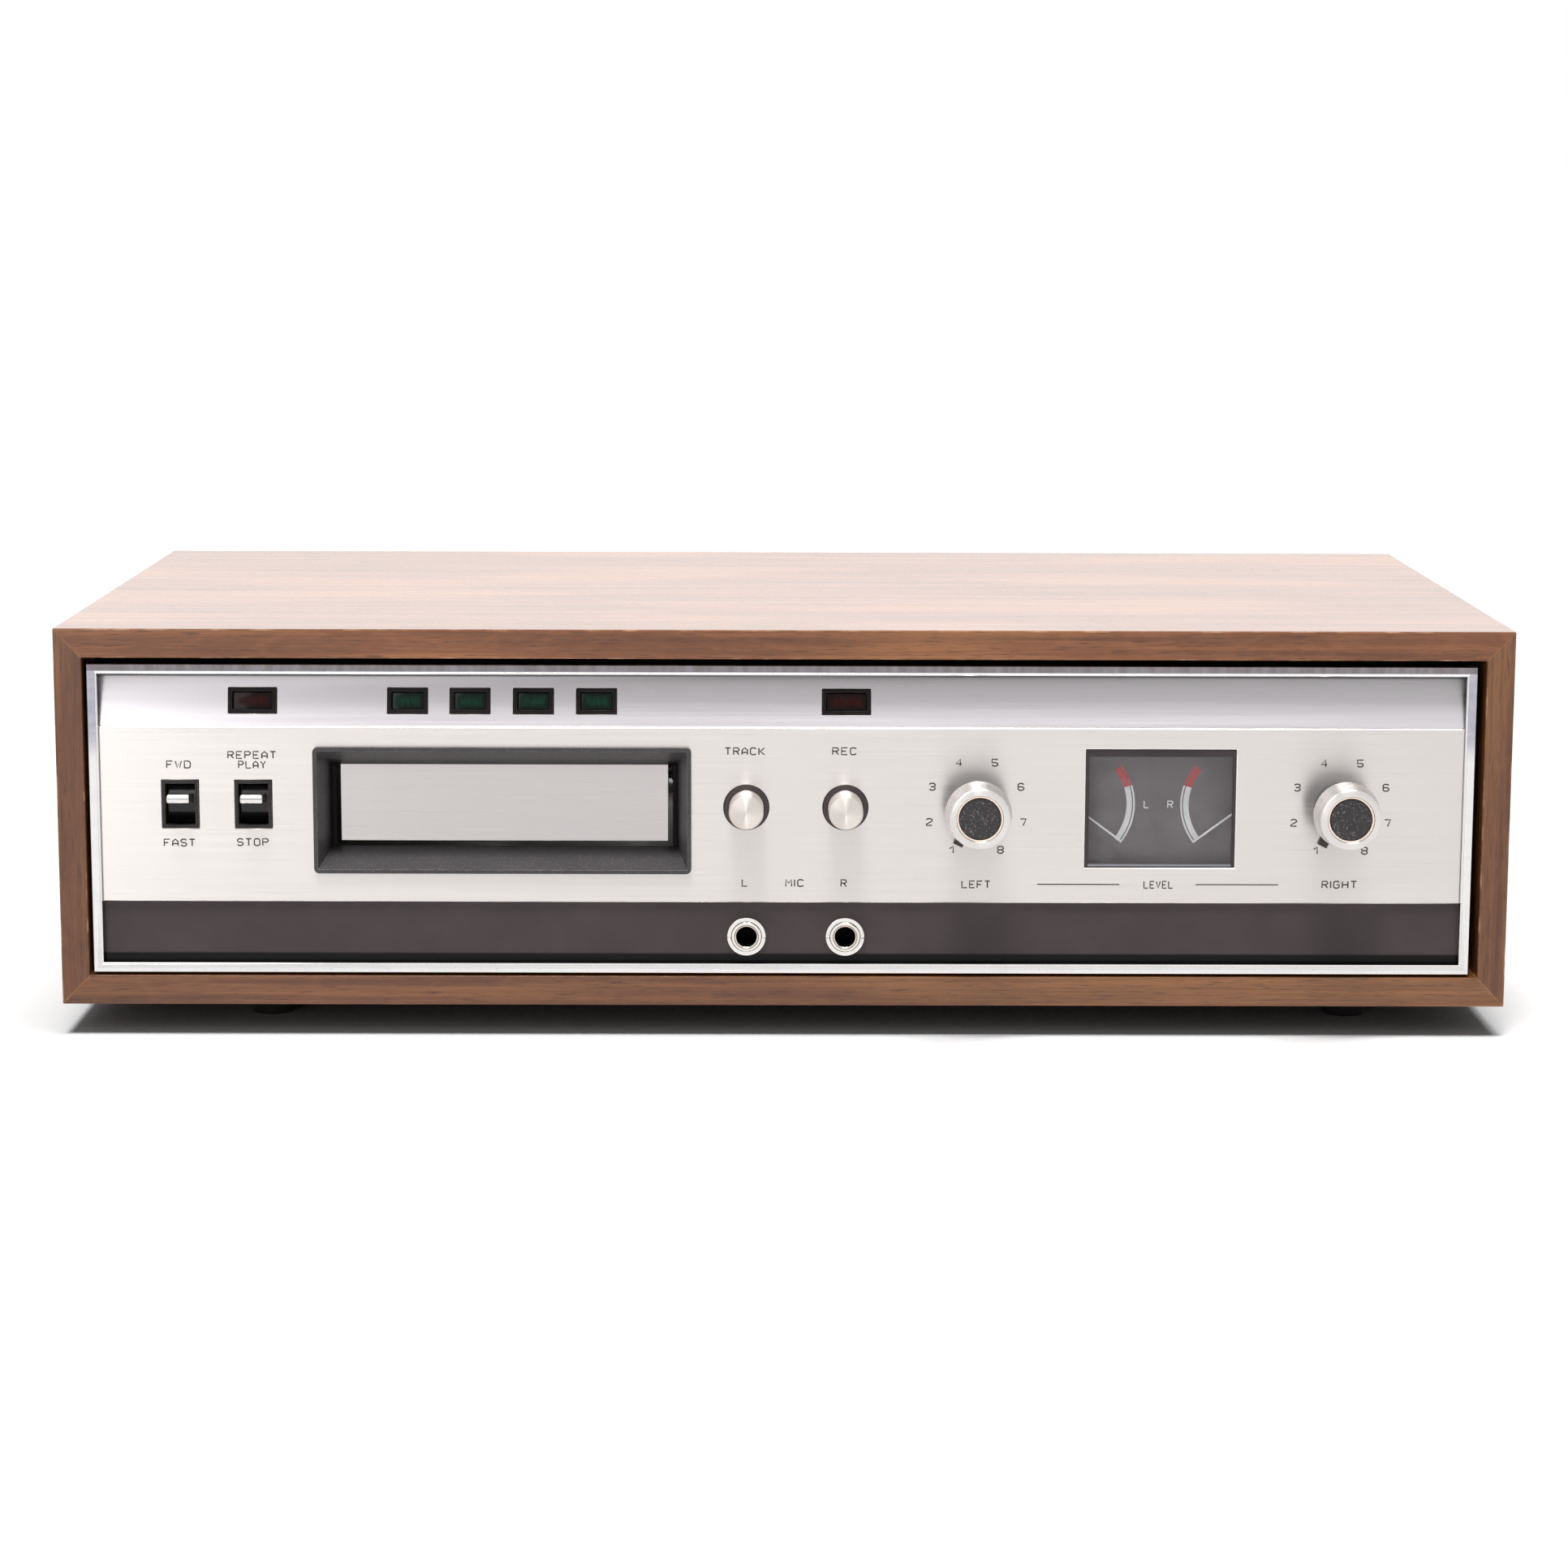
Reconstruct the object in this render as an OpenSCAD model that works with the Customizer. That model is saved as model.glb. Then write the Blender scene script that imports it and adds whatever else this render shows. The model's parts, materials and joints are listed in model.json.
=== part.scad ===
// Eight-track cartridge recorder in a walnut cabinet, as an assembly of its real pieces.
// Every length is in millimetres. The row frame has +Z up, +X to the right and the front
// towards -Y, with its origin under the middle of the whole object, on the surface it stands on.
// Inside place(), x runs right from the cabinet's middle, y runs back from the cabinet's front
// edge and z runs up from the cabinet's underside.

/* [Cabinet] */
// Width of the cabinet
cab_w = 445; // [440:1:480]
// Depth of the cabinet
cab_d = 236.5; // [230:0.5:280]
// Height of the cabinet without its feet
cab_h = 116.5; // [116:0.5:130]
// Thickness of the side boards
side_t = 8.6; // [7:0.2:9]
// Thickness of the top board
top_t = 9; // [7:0.5:10]
// Thickness of the bottom board
bottom_t = 9; // [8:0.5:9]
// Height of a foot
foot_h = 10; // [6:0.5:16]
// Diameter of a foot where it meets the cabinet
foot_d = 15.5; // [12:0.5:22]
// Distance of the left feet from the cabinet's left side
foot_left = 60.5; // [24:0.5:100]
// Distance of the right feet from the cabinet's right side
foot_right = 44; // [24:0.5:100]
// Distance of the feet from the cabinet's front and back edges
foot_inset = 36.5; // [20:0.5:60]

/* [Front] */
// Gap between the chrome trim frame and each side board, before the front unit's shift
trim_side_gap = 1.9; // [1.3:0.1:2.5]
// Gap between the trim's upper edge and the top board
trim_top_gap = 1.9; // [1:0.1:2.5]
// Shift of the whole front unit to the left of the middle
unit_shift = 0.7; // [0:0.1:1.2]
// Gap between the trim's lower edge and the bottom board
trim_gap = 0.8; // [0.5:0.1:1.2]
// Width of the trim's front strip
trim_strip = 3.1; // [2:0.1:4]
// Depth of the trim's face behind the cabinet's front edge
trim_recess = 0.8; // [0.4:0.1:1.4]
// Depth of the main panel's face behind the cabinet's front edge
panel_recess = 2.6; // [2.4:0.1:3.2]
// Thickness of the main panel
panel_t = 1.6; // [1.2:0.1:2]
// Height of the black lower band, up to the main panel
band_h = 20.7; // [19:0.1:21.9]
// Height of the leaning lamp strip, down to the main panel's ledge
lamp_run = 18.1; // [16.4:0.1:18.7]
// Depth of the sub-panel's face behind the cabinet's front edge
sub_recess = 9.5; // [9.2:0.1:10.5]
// Thickness of the sub-panel, chassis and rear panel sheet
sheet_t = 1.2; // [0.8:0.1:1.5]
// Depth at which the lamp strip's lower edge starts
lamp_y0 = 3.3; // [3:0.1:3.6]
// Depth that the lamp strip's upper edge leans back to
lamp_y1 = 7; // [5:0.1:7.2]
// Depth of the black lower band's face
band_recess = 3.6; // [3:0.1:4]
// Width of a green lamp window
lamp_green_w = 12.4; // [10:0.2:14]
// Width of the left red lamp window
lamp_red_w = 14.9; // [12:0.2:16]
// Height of a lamp window
lamp_h = 8; // [6:0.2:9]

/* [Cartridge slot] */
// Distance of the slot's middle from the main panel's left end
slot_in = 124.9; // [121.4:0.1:126.4]
// Height of the slot's middle above the main panel's middle
slot_up = 1.4; // [1:0.1:2]
// Outer width of the bezel
bezel_w = 115.8; // [115:0.2:118]
// Outer height of the bezel
bezel_h = 39.2; // [38.6:0.2:40.4]
// Height that the bezel stands proud of the main panel
bezel_proud = 1.4; // [0.8:0.1:1.8]
// Depth of the bezel's inner mouth
mouth_y = 12; // [11.8:0.1:12.2]
// Width of the bezel's inner mouth
mouth_w = 106.3; // [105:0.1:107]
// Height of the bezel's inner mouth
mouth_h = 25.5; // [25:0.1:26]
// Gap between the mouth's floor and the flap's lower edge
door_lift = 1.45; // [0.95:0.05:2.35]
// Width between the guide rails, for a cartridge 102 wide
bay_w = 104; // [103.2:0.2:105]
// Gap between the flap and each guide rail
door_side_gap = 1.3; // [0.8:0.1:3]
// Depth of the cartridge bay behind the cabinet's front edge
bay_y1 = 100; // [90:1:102]
// Diameter of the door's hinge pin
door_pin_d = 2; // [1.6:0.1:2.2]

/* [Controls] */
// Width of a lever switch window
switch_w = 11.2; // [10:0.1:12]
// Height of a lever switch window
switch_h = 14.8; // [14:0.1:16]
// Distance of the left lever switch from the main panel's left end
switch_in1 = 26.2; // [24.4:0.1:27.4]
// Distance of the second lever switch from the main panel's left end
switch_in2 = 48.6; // [47.4:0.1:50.4]
// Height of the lever switches above the main panel's middle
switch_up = 3.1; // [2:0.1:4]
// Tilt of a lever above the middle when it is up
lever_tilt = 7.5; // [5:0.5:8]
// Width of a chrome lever tip
tip_w = 6.8; // [5:0.1:7.4]
// Thickness of a chrome lever tip
tip_t = 2.8; // [2:0.1:3.4]
// Height of the push buttons and of the record level knobs above the main panel's middle
control_up = 2.5; // [2:0.1:3]
// Percent of the free room from slot to left knob that lies before the program button
program_share = 20.16; // [17:0.01:23]
// Percent of the free room from slot to left knob that lies after the record button
record_share = 46.31; // [43:0.01:49]
// Diameter of a push button
button_d = 10.6; // [9.6:0.1:10.8]
// Outer diameter of a button's black collar
collar_d = 13.6; // [13.2:0.1:15]
// Length of a button in front of the main panel
button_out = 10.2; // [8:0.1:12]
// Travel of a push button
button_travel = 4; // [2:0.1:4.5]
// Distance of the left knob from the main panel's right end
knob_in1 = 151.1; // [149:0.1:153]
// Distance of the right knob from the main panel's right end
knob_in2 = 39.1; // [37:0.1:40]
// Largest diameter of a knob, at its waist
knob_d = 20.4; // [19.4:0.1:22]
// Diameter of a knob's front rim
knob_front_d = 18.6; // [17:0.1:19.2]
// Length of a knob in front of the main panel, with its running gap
knob_out = 20.9; // [18:0.1:24]
// Gap between a knob and the main panel
knob_gap = 1.2; // [0.6:0.1:2]
// Diameter of a knob's black cap
cap_d = 12.8; // [10:0.1:14]
// Diameter of a level control's shaft
shaft_d = 6; // [5:0.1:6]
// Height of a microphone jack's middle above the lower band's lower edge
jack_up = 10.1; // [9.4:0.1:10.9]
// Bore of a microphone jack, for a 6.35 plug
jack_bore = 6.4; // [6.3:0.05:6.5]
// Diameter of a microphone jack's threaded bush
jack_bush_d = 9.2; // [8.8:0.1:9.6]
// Diameter of a microphone jack's nut
jack_nut_d = 11.9; // [11:0.1:12.6]

/* [Level meter] */
// Distance of the meter's middle from the main panel's right end
meter_in = 94.6; // [93.5:0.1:95.5]
// Height of the meter's middle above the main panel's middle
meter_up = 2.3; // [2:0.1:3]
// Width of the meter's window
meter_w = 46.1; // [44:0.1:47]
// Margin from the meter's window to the main panel's upper and lower edges, when centred
meter_margin = 8.8; // [8.2:0.1:9.7]
// Distance of a needle's pivot from the meter's middle
pivot_out = 26.5; // [25:0.1:27]
// Length of a needle from its pivot to its tip
needle_len = 19.2; // [16:0.1:20]
// Angle of a resting needle below the horizontal
needle_rest = 36.5; // [30:0.5:38]
// Depth of the dial's face behind the cabinet's front edge
dial_y = 11; // [10:0.1:14]

/* [Tape drive] */
// Depth of the deck plate's upper face below the mouth's floor
deck_drop = 0.65; // [0.45:0.05:1.05]
// Thickness of the deck plate
deck_t = 1.6; // [1.2:0.1:1.8]
// Distance of the capstan left of the slot's middle
capstan_out = 33; // [28.5:0.5:35.5]
// Depth of the capstan behind the cabinet's front edge
capstan_y = 107; // [106:0.5:110]
// Diameter of the capstan shaft
capstan_d = 6; // [4:0.1:6]
// Running clearance round a shaft, on the radius
run = 0.05; // [0.02:0.01:0.08]
// Diameter of the flywheel
flywheel_d = 76; // [60:1:78]
// Thickness of the flywheel
flywheel_t = 12; // [8:0.5:13]
// Distance of the motor's shaft from the main panel's left end
motor_in = 29.4; // [27.4:0.5:33.4]
// Distance of the motor's shaft from the deck plate's back edge
motor_inset = 31; // [26:0.5:36]
// Diameter of the motor's can
motor_d = 46; // [40:0.5:50]
// Height of the motor's can
motor_h = 40; // [30:0.5:44]
// Diameter of the motor's pulley where the belt runs
pulley_d = 10; // [8:0.5:14]
// Width of the flat drive belt
belt_w = 4; // [3:0.1:5]
// Thickness of the drive belt
belt_t = 0.8; // [0.5:0.1:1]
// Travel of the tape head over its four programs
head_travel = 2.4; // [1.8:0.1:2.7]
// Diameter of the program cam's ratchet
cam_d = 22; // [18:0.5:24]
// Travel of the solenoid's plunger
plunger_travel = 4; // [3:0.1:5]

/* [Rear] */
// Depth of the rear panel's outer face inside the cabinet's back edge
rear_recess = 13.3; // [12.8:0.1:20]
// Radius of a line socket's shell
rca_r = 4.15; // [4.1:0.05:4.2]
// Length of a line socket's shell
rca_len = 8; // [7:0.1:9]
// Hole that the grommet leaves for a round supply cord
cord_d = 7; // [5:0.1:8]

/* [Hidden] */
$fn = 64;

// Row frame: the knobs reach furthest forward and the cabinet furthest back.
knob_reach = knob_out - panel_recess;
front_y = -(cab_d - knob_reach) / 2;

// Clearances used throughout
eps = 0.01;
clear = 0.3;
fit = 0.1;

// Front unit
unit_x = -unit_shift;
trim_w = cab_w - 2 * side_t - 2 * trim_side_gap;
trim_z0 = bottom_t + trim_gap;
trim_z1 = cab_h - top_t - trim_top_gap;
trim_h = trim_z1 - trim_z0;
trim_web = 1;
trim_flange_t = 1.2;
unit_w = trim_w - 2 * trim_web - 2 * clear;
unit_z0 = trim_z0 + trim_web + clear;
unit_z1 = trim_z1 - trim_web - clear;
panel_x0 = unit_x - unit_w / 2;
panel_x1 = unit_x + unit_w / 2;
panel_z0 = unit_z0 + band_h;
panel_z1 = unit_z1 - lamp_run;
panel_mid = (panel_z0 + panel_z1) / 2;
panel_back = panel_recess + panel_t;
panel_cut = sub_recess - panel_recess + 1 + eps;
sub_back = sub_recess + sheet_t;
sub_gap = 0.5;
lip_t = 1.5;

// Controls on the main panel, seen from the front
slot_x = panel_x0 + slot_in;
slot_z = panel_mid + slot_up;
switch_x = [panel_x0 + switch_in1, panel_x0 + switch_in2];
switch_z = panel_mid + switch_up;
knob_x = [panel_x1 - knob_in1, panel_x1 - knob_in2];
control_z = panel_mid + control_up;
button_room_x0 = slot_x + bezel_w / 2;
button_room_x1 = knob_x[0] - knob_d / 2;
button_free = button_room_x1 - button_room_x0 - 2 * collar_d;
button_x = [
    button_room_x0 + button_free * program_share / 100 + collar_d / 2,
    button_room_x1 - button_free * record_share / 100 - collar_d / 2
];
jack_shift = 0.1;
jack_x = [for (x = button_x) x + jack_shift];
jack_z = unit_z0 + jack_up;

// Lamp windows: one green for each program over the slot, and a red at both ends of the row
lamp_red_x = [switch_x[1], button_x[1] + 0.2];
green_steps = [-28.9, -9.8, 9.6, 28.9];
lamp_green_x = [for (step = green_steps) slot_x + step];
lamp_xw = concat(
    [for (x = lamp_red_x) [x, lamp_red_w]],
    [for (x = lamp_green_x) [x, lamp_green_w]]
);
lamp_lean = atan((lamp_y1 - lamp_y0) / lamp_run);
lamp_up = 7.9;
lamp_plate_t = 1.5;
lamp_frame = 1.3;
lamp_hole_h = lamp_h + 2;
lamp_board_y = 15;

// Cartridge slot, door and bay
bezel_y0 = panel_recess - bezel_proud;
bezel_rim = 1.2;
bezel_body_w = bezel_w - 1.6;
bezel_body_h = bezel_h - 2;
bezel_hole_w = bezel_body_w + 0.4;
bezel_hole_h = bezel_body_h + 0.4;
funnel_w = bezel_w - 2 * bezel_rim;
funnel_h = bezel_h - 2 * bezel_rim;
door_y = mouth_y + 0.4;
door_leaf_t = 1.2;
door_pin_y = door_y + 3.5;
door_pin_z = slot_z + mouth_h / 2 + 2.6;
door_top = door_pin_z + 0.6;
door_z0 = slot_z - mouth_h / 2 + door_lift;
door_w = bay_w - 2 * door_side_gap;
carrier_w = door_w - 3;
barrel_r = door_pin_d / 2 + 1.2;
rail_t = 1.5;
rail_y0 = mouth_y + clear;
rail_z1 = door_pin_z + 4;
rail_foot = 9;
rail_foot_y0 = 36;

// Lever switches
lever_pivot_y = panel_recess + 13;
lever_drum_r = 10;
lever_w = 8.6;
tip_reach = 18.6;
housing_w = 14.4;
housing_h = 24;
housing_back = 30;
cavity_w = 9.2;
trunnion_d = 3;
cavity_mouth_h = switch_h - 2;

// Push buttons
button_y0 = panel_recess - button_out;
button_back = 9;
stem_d = 4;
stem_back = 34;
push_w = 15;
push_h = 15;
push_y1 = 40;
head_room = button_back + button_travel + 1;

// Knobs and level controls
knob_y0 = panel_recess - knob_out;
knob_y1 = panel_recess - knob_gap;
shaft_front = knob_y0 + 6;
shaft_back = 25;
pot_bush_d = 7;
pot_d = 24;
pot_y1 = 23;
cap_t = 1;
cap_sink = 0.5;
index_r = 12.9;
index_w = 3;
index_t = 0.6;
index_angle = 244;

// Jacks
jack_front = band_recess - 2.6;
jack_nut_t = 2;
jack_body = 14;
jack_back = 34;
jack_bore_y1 = 32;

// Meter
meter_x = panel_x1 - meter_in;
meter_z = panel_mid + meter_up;
meter_h = panel_z1 - panel_z0 - 2 * meter_margin;
window_fit = 0.1;
meter_box_w = 2 * pivot_out + 12;
meter_box_h = meter_h + 5;
meter_wall = 1.5;
meter_in_w = meter_box_w - 2 * meter_wall;
meter_in_h = meter_box_h - 2 * meter_wall;
meter_back = 30;
window_flange = 1.2;
dial_t = 0.8;
needle_y = dial_y - 2;
needle_t = 0.5;
needle_w = 0.55;
needle_hub_d = 5;
needle_shaft_d = 1.6;

// Tape drive
chassis_y1 = cab_d - rear_recess - sheet_t;
capstan_x = slot_x - capstan_out;
motor_x = panel_x0 + motor_in;
floor_z = bottom_t + sheet_t;
deck_z = slot_z - mouth_h / 2 - deck_drop;
deck_bottom = deck_z - deck_t;
deck_x0 = panel_x0 + 3.4;
deck_x1 = slot_x + bay_w / 2 + rail_foot + 14;
deck_y0 = rail_y0 + 2;
deck_y1 = chassis_y1 - 26;
motor_y = deck_y1 - motor_inset;
flywheel_z = deck_bottom - 5.4 - flywheel_t - 1;
belt_z = flywheel_z + (flywheel_t - belt_w) / 2;
pulley_flange = 1.2;
bearing_r = 8;
bearing_top = 3;
capstan_rise = 17;
capstan_top = deck_z + capstan_rise;
capstan_foot = flywheel_z - 4;
flywheel_hub_d = 18;
post_d = 8;
post_inset = 8;
post_back = 30;
post_x = [deck_x0 + post_inset + 4, deck_x1 - post_inset];
post_y = [deck_y0 + post_back, deck_y1 - post_inset];
cam_x = slot_x + 24;
cam_z = deck_z + 3;
cam_wheel_t = 3;
cam_hub_r = 7.5;
cam_post_d = 4;
step_rise = head_travel / 3;
head_x = slot_x + 6;
head_w = 12;
head_y0 = bay_y1 + 1;
head_depth = 10;
head_h = 15;
carriage_y = head_y0 + head_depth;
cam_y = carriage_y + 17;
carriage_z = cam_z + cam_wheel_t + 5;
head_post_x = head_x - 8;
head_post_y = carriage_y + 8;
follower_r = 1;
arm_x = slot_x + bay_w / 2 + rail_foot + 4.5;
sol_x = arm_x - 7.5;
sol_y = cam_y + cam_d / 2 + 1.2 + clear;
sol_w = 26;
sol_d = 20;
sol_h = 20;
sol_z = deck_z;
plunger_d = 7;
plunger_rise = cam_z + cam_wheel_t / 2 - deck_z;
plunger_out = 12;
plunger_end = 5.5;
pawl_h = 2.4;
rail_y1 = bay_y1 - 12;
arm_y = 72;
arm_w = 4;
arm_z = deck_z + 8;
arm_post_d = 4;
arm_hub_h = 6;
arm_t = 3;
roller_h = 8;
roller_r = 4;
roller_x = slot_x + bay_w / 2 + rail_t;
roller_y = rail_y1 + roller_r + 4;
start_switch = [slot_x + bay_w / 2 + 17, roller_y - 5, deck_z];
start_switch_size = [5, 14, 16];

// Chassis, boards and rear
chassis_side_h = 28;
rear_y0 = chassis_y1;
rear_h = cab_h - bottom_t - top_t - 2;
rear_w = cab_w - 2 * side_t - 2;
trans_x = panel_x1 - 50;
trans_y = chassis_y1 - 36;
trans_w = 56;
trans_d = 28;
trans_h = 48;
coil_bulge = 7;
board_w = 170;
board_x = panel_x1 - 53 - board_w / 2;
board_y0 = 52;
board_y1 = trans_y - trans_d / 2 - coil_bulge - 17;
board_d = board_y1 - board_y0;
board_y = (board_y0 + board_y1) / 2;
board_z = floor_z + 8;
board_t = 1.6;
board_post = [board_w / 2 - 6, board_d / 2 - 6];
// Capacitors on the board: x and y from its middle, radius and height
board_caps = [[-60, 20, 8, 22], [-43, 20, 8, 22], [-24, 26, 6, 16], [10, 24, 6, 16], [36, 20, 5, 14]];
transistor_x = [-62, -45, -28, -11, 6, 23, 40, 57];
transistor_y = -12;
relay_x = [-50, -6, 38];
relay_y = -34;
relay_size = [18, 12, 12];
rca_in = [150, 130, 100, 80];
rca_x = [for (x = rca_in) panel_x1 - x];
rca_z = bottom_t + 31;
rca_base_d = 11;
rca_base_len = 12;
rca_neck_d = 9.3;
rca_flange_d = 11.4;
rca_flange_t = 1;
cord_x = panel_x0 + 61.4;
cord_z = bottom_t + 25;
screw_d = 4;
screw_head_d = 7.4;
screw_head_h = 2.4;
screw_len = 10;
foot_x = [foot_left - cab_w / 2, cab_w / 2 - foot_right];
foot_y = [foot_inset, cab_d - foot_inset];
foot_taper = 1.5;
rear_screw_x = rear_w / 2 - 14;
rear_screw_z = [bottom_t + 13, bottom_t + 13];

// Feet and rear panel
foot_sink = 4.4;
vent_w = 3;
vent_h = 44;
vent_pitch = 7;
vent_count = 18;
vent_x0 = 110;
vent_x = [for (i = [0:vent_count - 1]) i * vent_pitch - vent_x0];
vent_z = bottom_t + rear_h / 2 + 4.75;
grommet_neck_d = cord_d + 4;
grommet_d = cord_d + 8;
grommet_t = 2.5;

// Lamps and lenses
lamp_frame_y0 = -0.3;
lamp_frame_depth = 3.4;
lens_y = 1.1;
lens_t = 1.4;
lamp_bulb_d = 4;
lamp_bulb_y0 = 8.6;
lamp_board_end = 12;
lamp_board_h = 12;
lamp_post_end = 9;
lamp_post_x = [
    lamp_red_x[0] - lamp_post_end,
    (lamp_green_x[3] + lamp_red_x[1]) / 2,
    lamp_red_x[1] + lamp_post_end
];

// Knobs and nuts
knob_rim_t = 0.5;
knob_waist = 8.8;
knob_waist_t = 0.8;
knob_neck_d = 16.4;
pot_nut_d = 10.5;
nut_slot_w = 1;
nut_slot_t = 0.8;

// Motor shaft, head post and cam
motor_shaft_d = 3;
head_post_d = 3;
cam_peg_r = 5.2;
cam_teeth = 8;
cam_start = -135;
cam_lead = -24;

// Moves its children from the cabinet's own datum to the row frame
module place() {
    translate([0, front_y, foot_h]) children();
}

// A sheet of thickness t whose outline is drawn as x and z, with its front face at depth y0
module upright(y0, t) {
    translate([0, y0 + t, 0]) rotate([90, 0, 0]) linear_extrude(t) children();
}

// A bar whose section is drawn as y and z, running from x0 to x1
module lengthwise(x0, x1) {
    translate([x0, 0, 0]) rotate([90, 0, 90]) linear_extrude(x1 - x0) children();
}

// A cylinder along the depth, from y0 back to y1
module rod_y(x, z, y0, y1, d) {
    translate([x, y1, z]) rotate([90, 0, 0]) cylinder(h = y1 - y0, d = d);
}

// A cylinder along the width, from x0 to x1
module rod_x(y, z, x0, x1, d) {
    translate([x0, y, z]) rotate([0, 90, 0]) cylinder(h = x1 - x0, d = d);
}

// A box given by its lowest corner and its highest corner
module block(lo, hi) {
    translate(lo) cube(hi - lo);
}

// A centred rectangle with round corners
module round_rect(w, h, r) {
    square([w - 2 * r, h], center = true);
    square([w, h - 2 * r], center = true);
    for (x = [-1, 1], z = [-1, 1]) {
        translate([x * (w / 2 - r), z * (h / 2 - r)]) circle(r);
    }
}

// A pan-head screw that points up, with its head's bearing face at z
module screw_up(x, y, z, len) {
    translate([x, y, z]) cylinder(h = len, d = screw_d);
    translate([x, y, z - screw_head_h]) cylinder(h = screw_head_h, d = screw_head_d);
}

// A pan-head screw that points down, with its head's bearing face at z
module screw_down(x, y, z, len) {
    translate([x, y, z - len]) cylinder(h = len, d = screw_d);
    translate([x, y, z]) cylinder(h = screw_head_h, d = screw_head_d);
}

// Turns its children onto the lamp strip's leaning face, at height up from the ledge
module on_lamp_face(x) {
    translate([x, lamp_y0, panel_z1]) rotate([-lamp_lean, 0, 0]) translate([0, 0, lamp_up]) children();
}

// Cabinet

module cabinet_top() {
    color("#7a4b30") place() upright(0, cab_d) polygon([
        [-cab_w / 2, cab_h],
        [cab_w / 2, cab_h],
        [cab_w / 2 - side_t, cab_h - top_t],
        [-cab_w / 2 + side_t, cab_h - top_t]
    ]);
}

module cabinet_bottom() {
    color("#6e432b") place() difference() {
        upright(0, cab_d) polygon([
            [-cab_w / 2, 0],
            [cab_w / 2, 0],
            [cab_w / 2 - side_t, bottom_t],
            [-cab_w / 2 + side_t, bottom_t]
        ]);
        for (x = foot_x, y = foot_y) {
            translate([x, y, -eps]) cylinder(h = bottom_t + 1, d = screw_d + 2 * fit);
        }
    }
}

module cabinet_sides() {
    color("#744529") place() for (side = [0, 1]) {
        mirror([side, 0, 0]) upright(0, cab_d) polygon([
            [-cab_w / 2, 0],
            [-cab_w / 2, cab_h],
            [-cab_w / 2 + side_t, cab_h - top_t],
            [-cab_w / 2 + side_t, bottom_t]
        ]);
    }
}

module feet() {
    color("#1d1b1a") place() for (x = foot_x, y = foot_y) {
        translate([x, y, -foot_h]) difference() {
            cylinder(h = foot_h, d1 = foot_d - foot_taper, d2 = foot_d);
            translate([0, 0, -eps]) cylinder(h = foot_sink, d = screw_head_d + 1);
            cylinder(h = foot_h + 1, d = screw_d + 2 * fit);
        }
    }
}

module screws() {
    color("#a9a9a6") place() {
        for (x = foot_x, y = foot_y) {
            screw_up(x, y, foot_sink - foot_h - eps, foot_h - foot_sink + bottom_t - 1);
        }
        for (x = post_x, y = post_y) {
            screw_down(x, y, deck_z, screw_len);
        }
        for (x = [-1, 1], y = [-1, 1]) {
            screw_down(board_x + x * board_post[0], board_y + y * board_post[1], board_z + board_t, 6);
        }
        for (x = [-rear_screw_x, rear_screw_x]) {
            rod_y(x, rear_screw_z[0], rear_y0 - 6, rear_y0 + sheet_t, screw_d);
            rod_y(x, rear_screw_z[0], rear_y0 + sheet_t, rear_y0 + sheet_t + screw_head_h, screw_head_d);
        }
    }
}

// Sheet metal tray: floor, side flanges and a lug behind the rear panel at each end
module chassis() {
    x0 = panel_x0;
    x1 = panel_x1;
    color("#b9b7ae") place() difference() {
        union() {
            block([x0, sub_back, bottom_t], [x1, chassis_y1, floor_z]);
            block([x0, sub_back, bottom_t], [x0 + sheet_t, chassis_y1, bottom_t + chassis_side_h]);
            block([x1 - sheet_t, sub_back, bottom_t], [x1, chassis_y1, bottom_t + chassis_side_h]);
            for (x = [-rear_screw_x, rear_screw_x]) {
                block([x - 7, chassis_y1 - sheet_t, bottom_t], [x + 7, chassis_y1, bottom_t + 20]);
            }
        }
        for (x = [-rear_screw_x, rear_screw_x]) {
            rod_y(x, rear_screw_z[0], chassis_y1 - 2 * sheet_t, chassis_y1 + eps, screw_d + 2 * fit);
        }
        for (x = foot_x, y = foot_y) {
            translate([x, y, bottom_t - 1]) cylinder(h = sheet_t + 2, d = screw_head_d);
        }
    }
}

module rear_panel() {
    color("#4a4744") place() difference() {
        block([-rear_w / 2, rear_y0, bottom_t], [rear_w / 2, rear_y0 + sheet_t, bottom_t + rear_h]);
        for (x = vent_x) {
            upright(rear_y0 - eps, sheet_t + 2 * eps) translate([x, vent_z])
                round_rect(vent_w, vent_h, vent_w / 2 - eps);
        }
        for (x = rca_x) {
            rod_y(x, rca_z, rear_y0 - eps, rear_y0 + sheet_t + eps, rca_neck_d + 2 * fit);
        }
        rod_y(cord_x, cord_z, rear_y0 - eps, rear_y0 + sheet_t + eps, grommet_neck_d + 2 * fit);
        for (x = [-rear_screw_x, rear_screw_x]) {
            rod_y(x, rear_screw_z[0], rear_y0 - eps, rear_y0 + sheet_t + eps, screw_d + 2 * fit);
        }
    }
}

// Phono line sockets: a base behind the panel, a neck through it, a flange, a shell and a bore
module rca_jacks() {
    shell_y0 = rear_y0 + sheet_t + rca_flange_t;
    color("#c9c9c6") place() for (x = rca_x) {
        difference() {
            union() {
                rod_y(x, rca_z, rear_y0 - rca_base_len, rear_y0, rca_base_d);
                rod_y(x, rca_z, rear_y0 - 1, shell_y0, rca_neck_d);
                rod_y(x, rca_z, rear_y0 + sheet_t, shell_y0, rca_flange_d);
                rod_y(x, rca_z, shell_y0 - eps, shell_y0 + rca_len, 2 * rca_r);
            }
            rod_y(x, rca_z, rear_y0 - 2, shell_y0 + rca_len + 1, 3.4);
        }
    }
}

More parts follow.
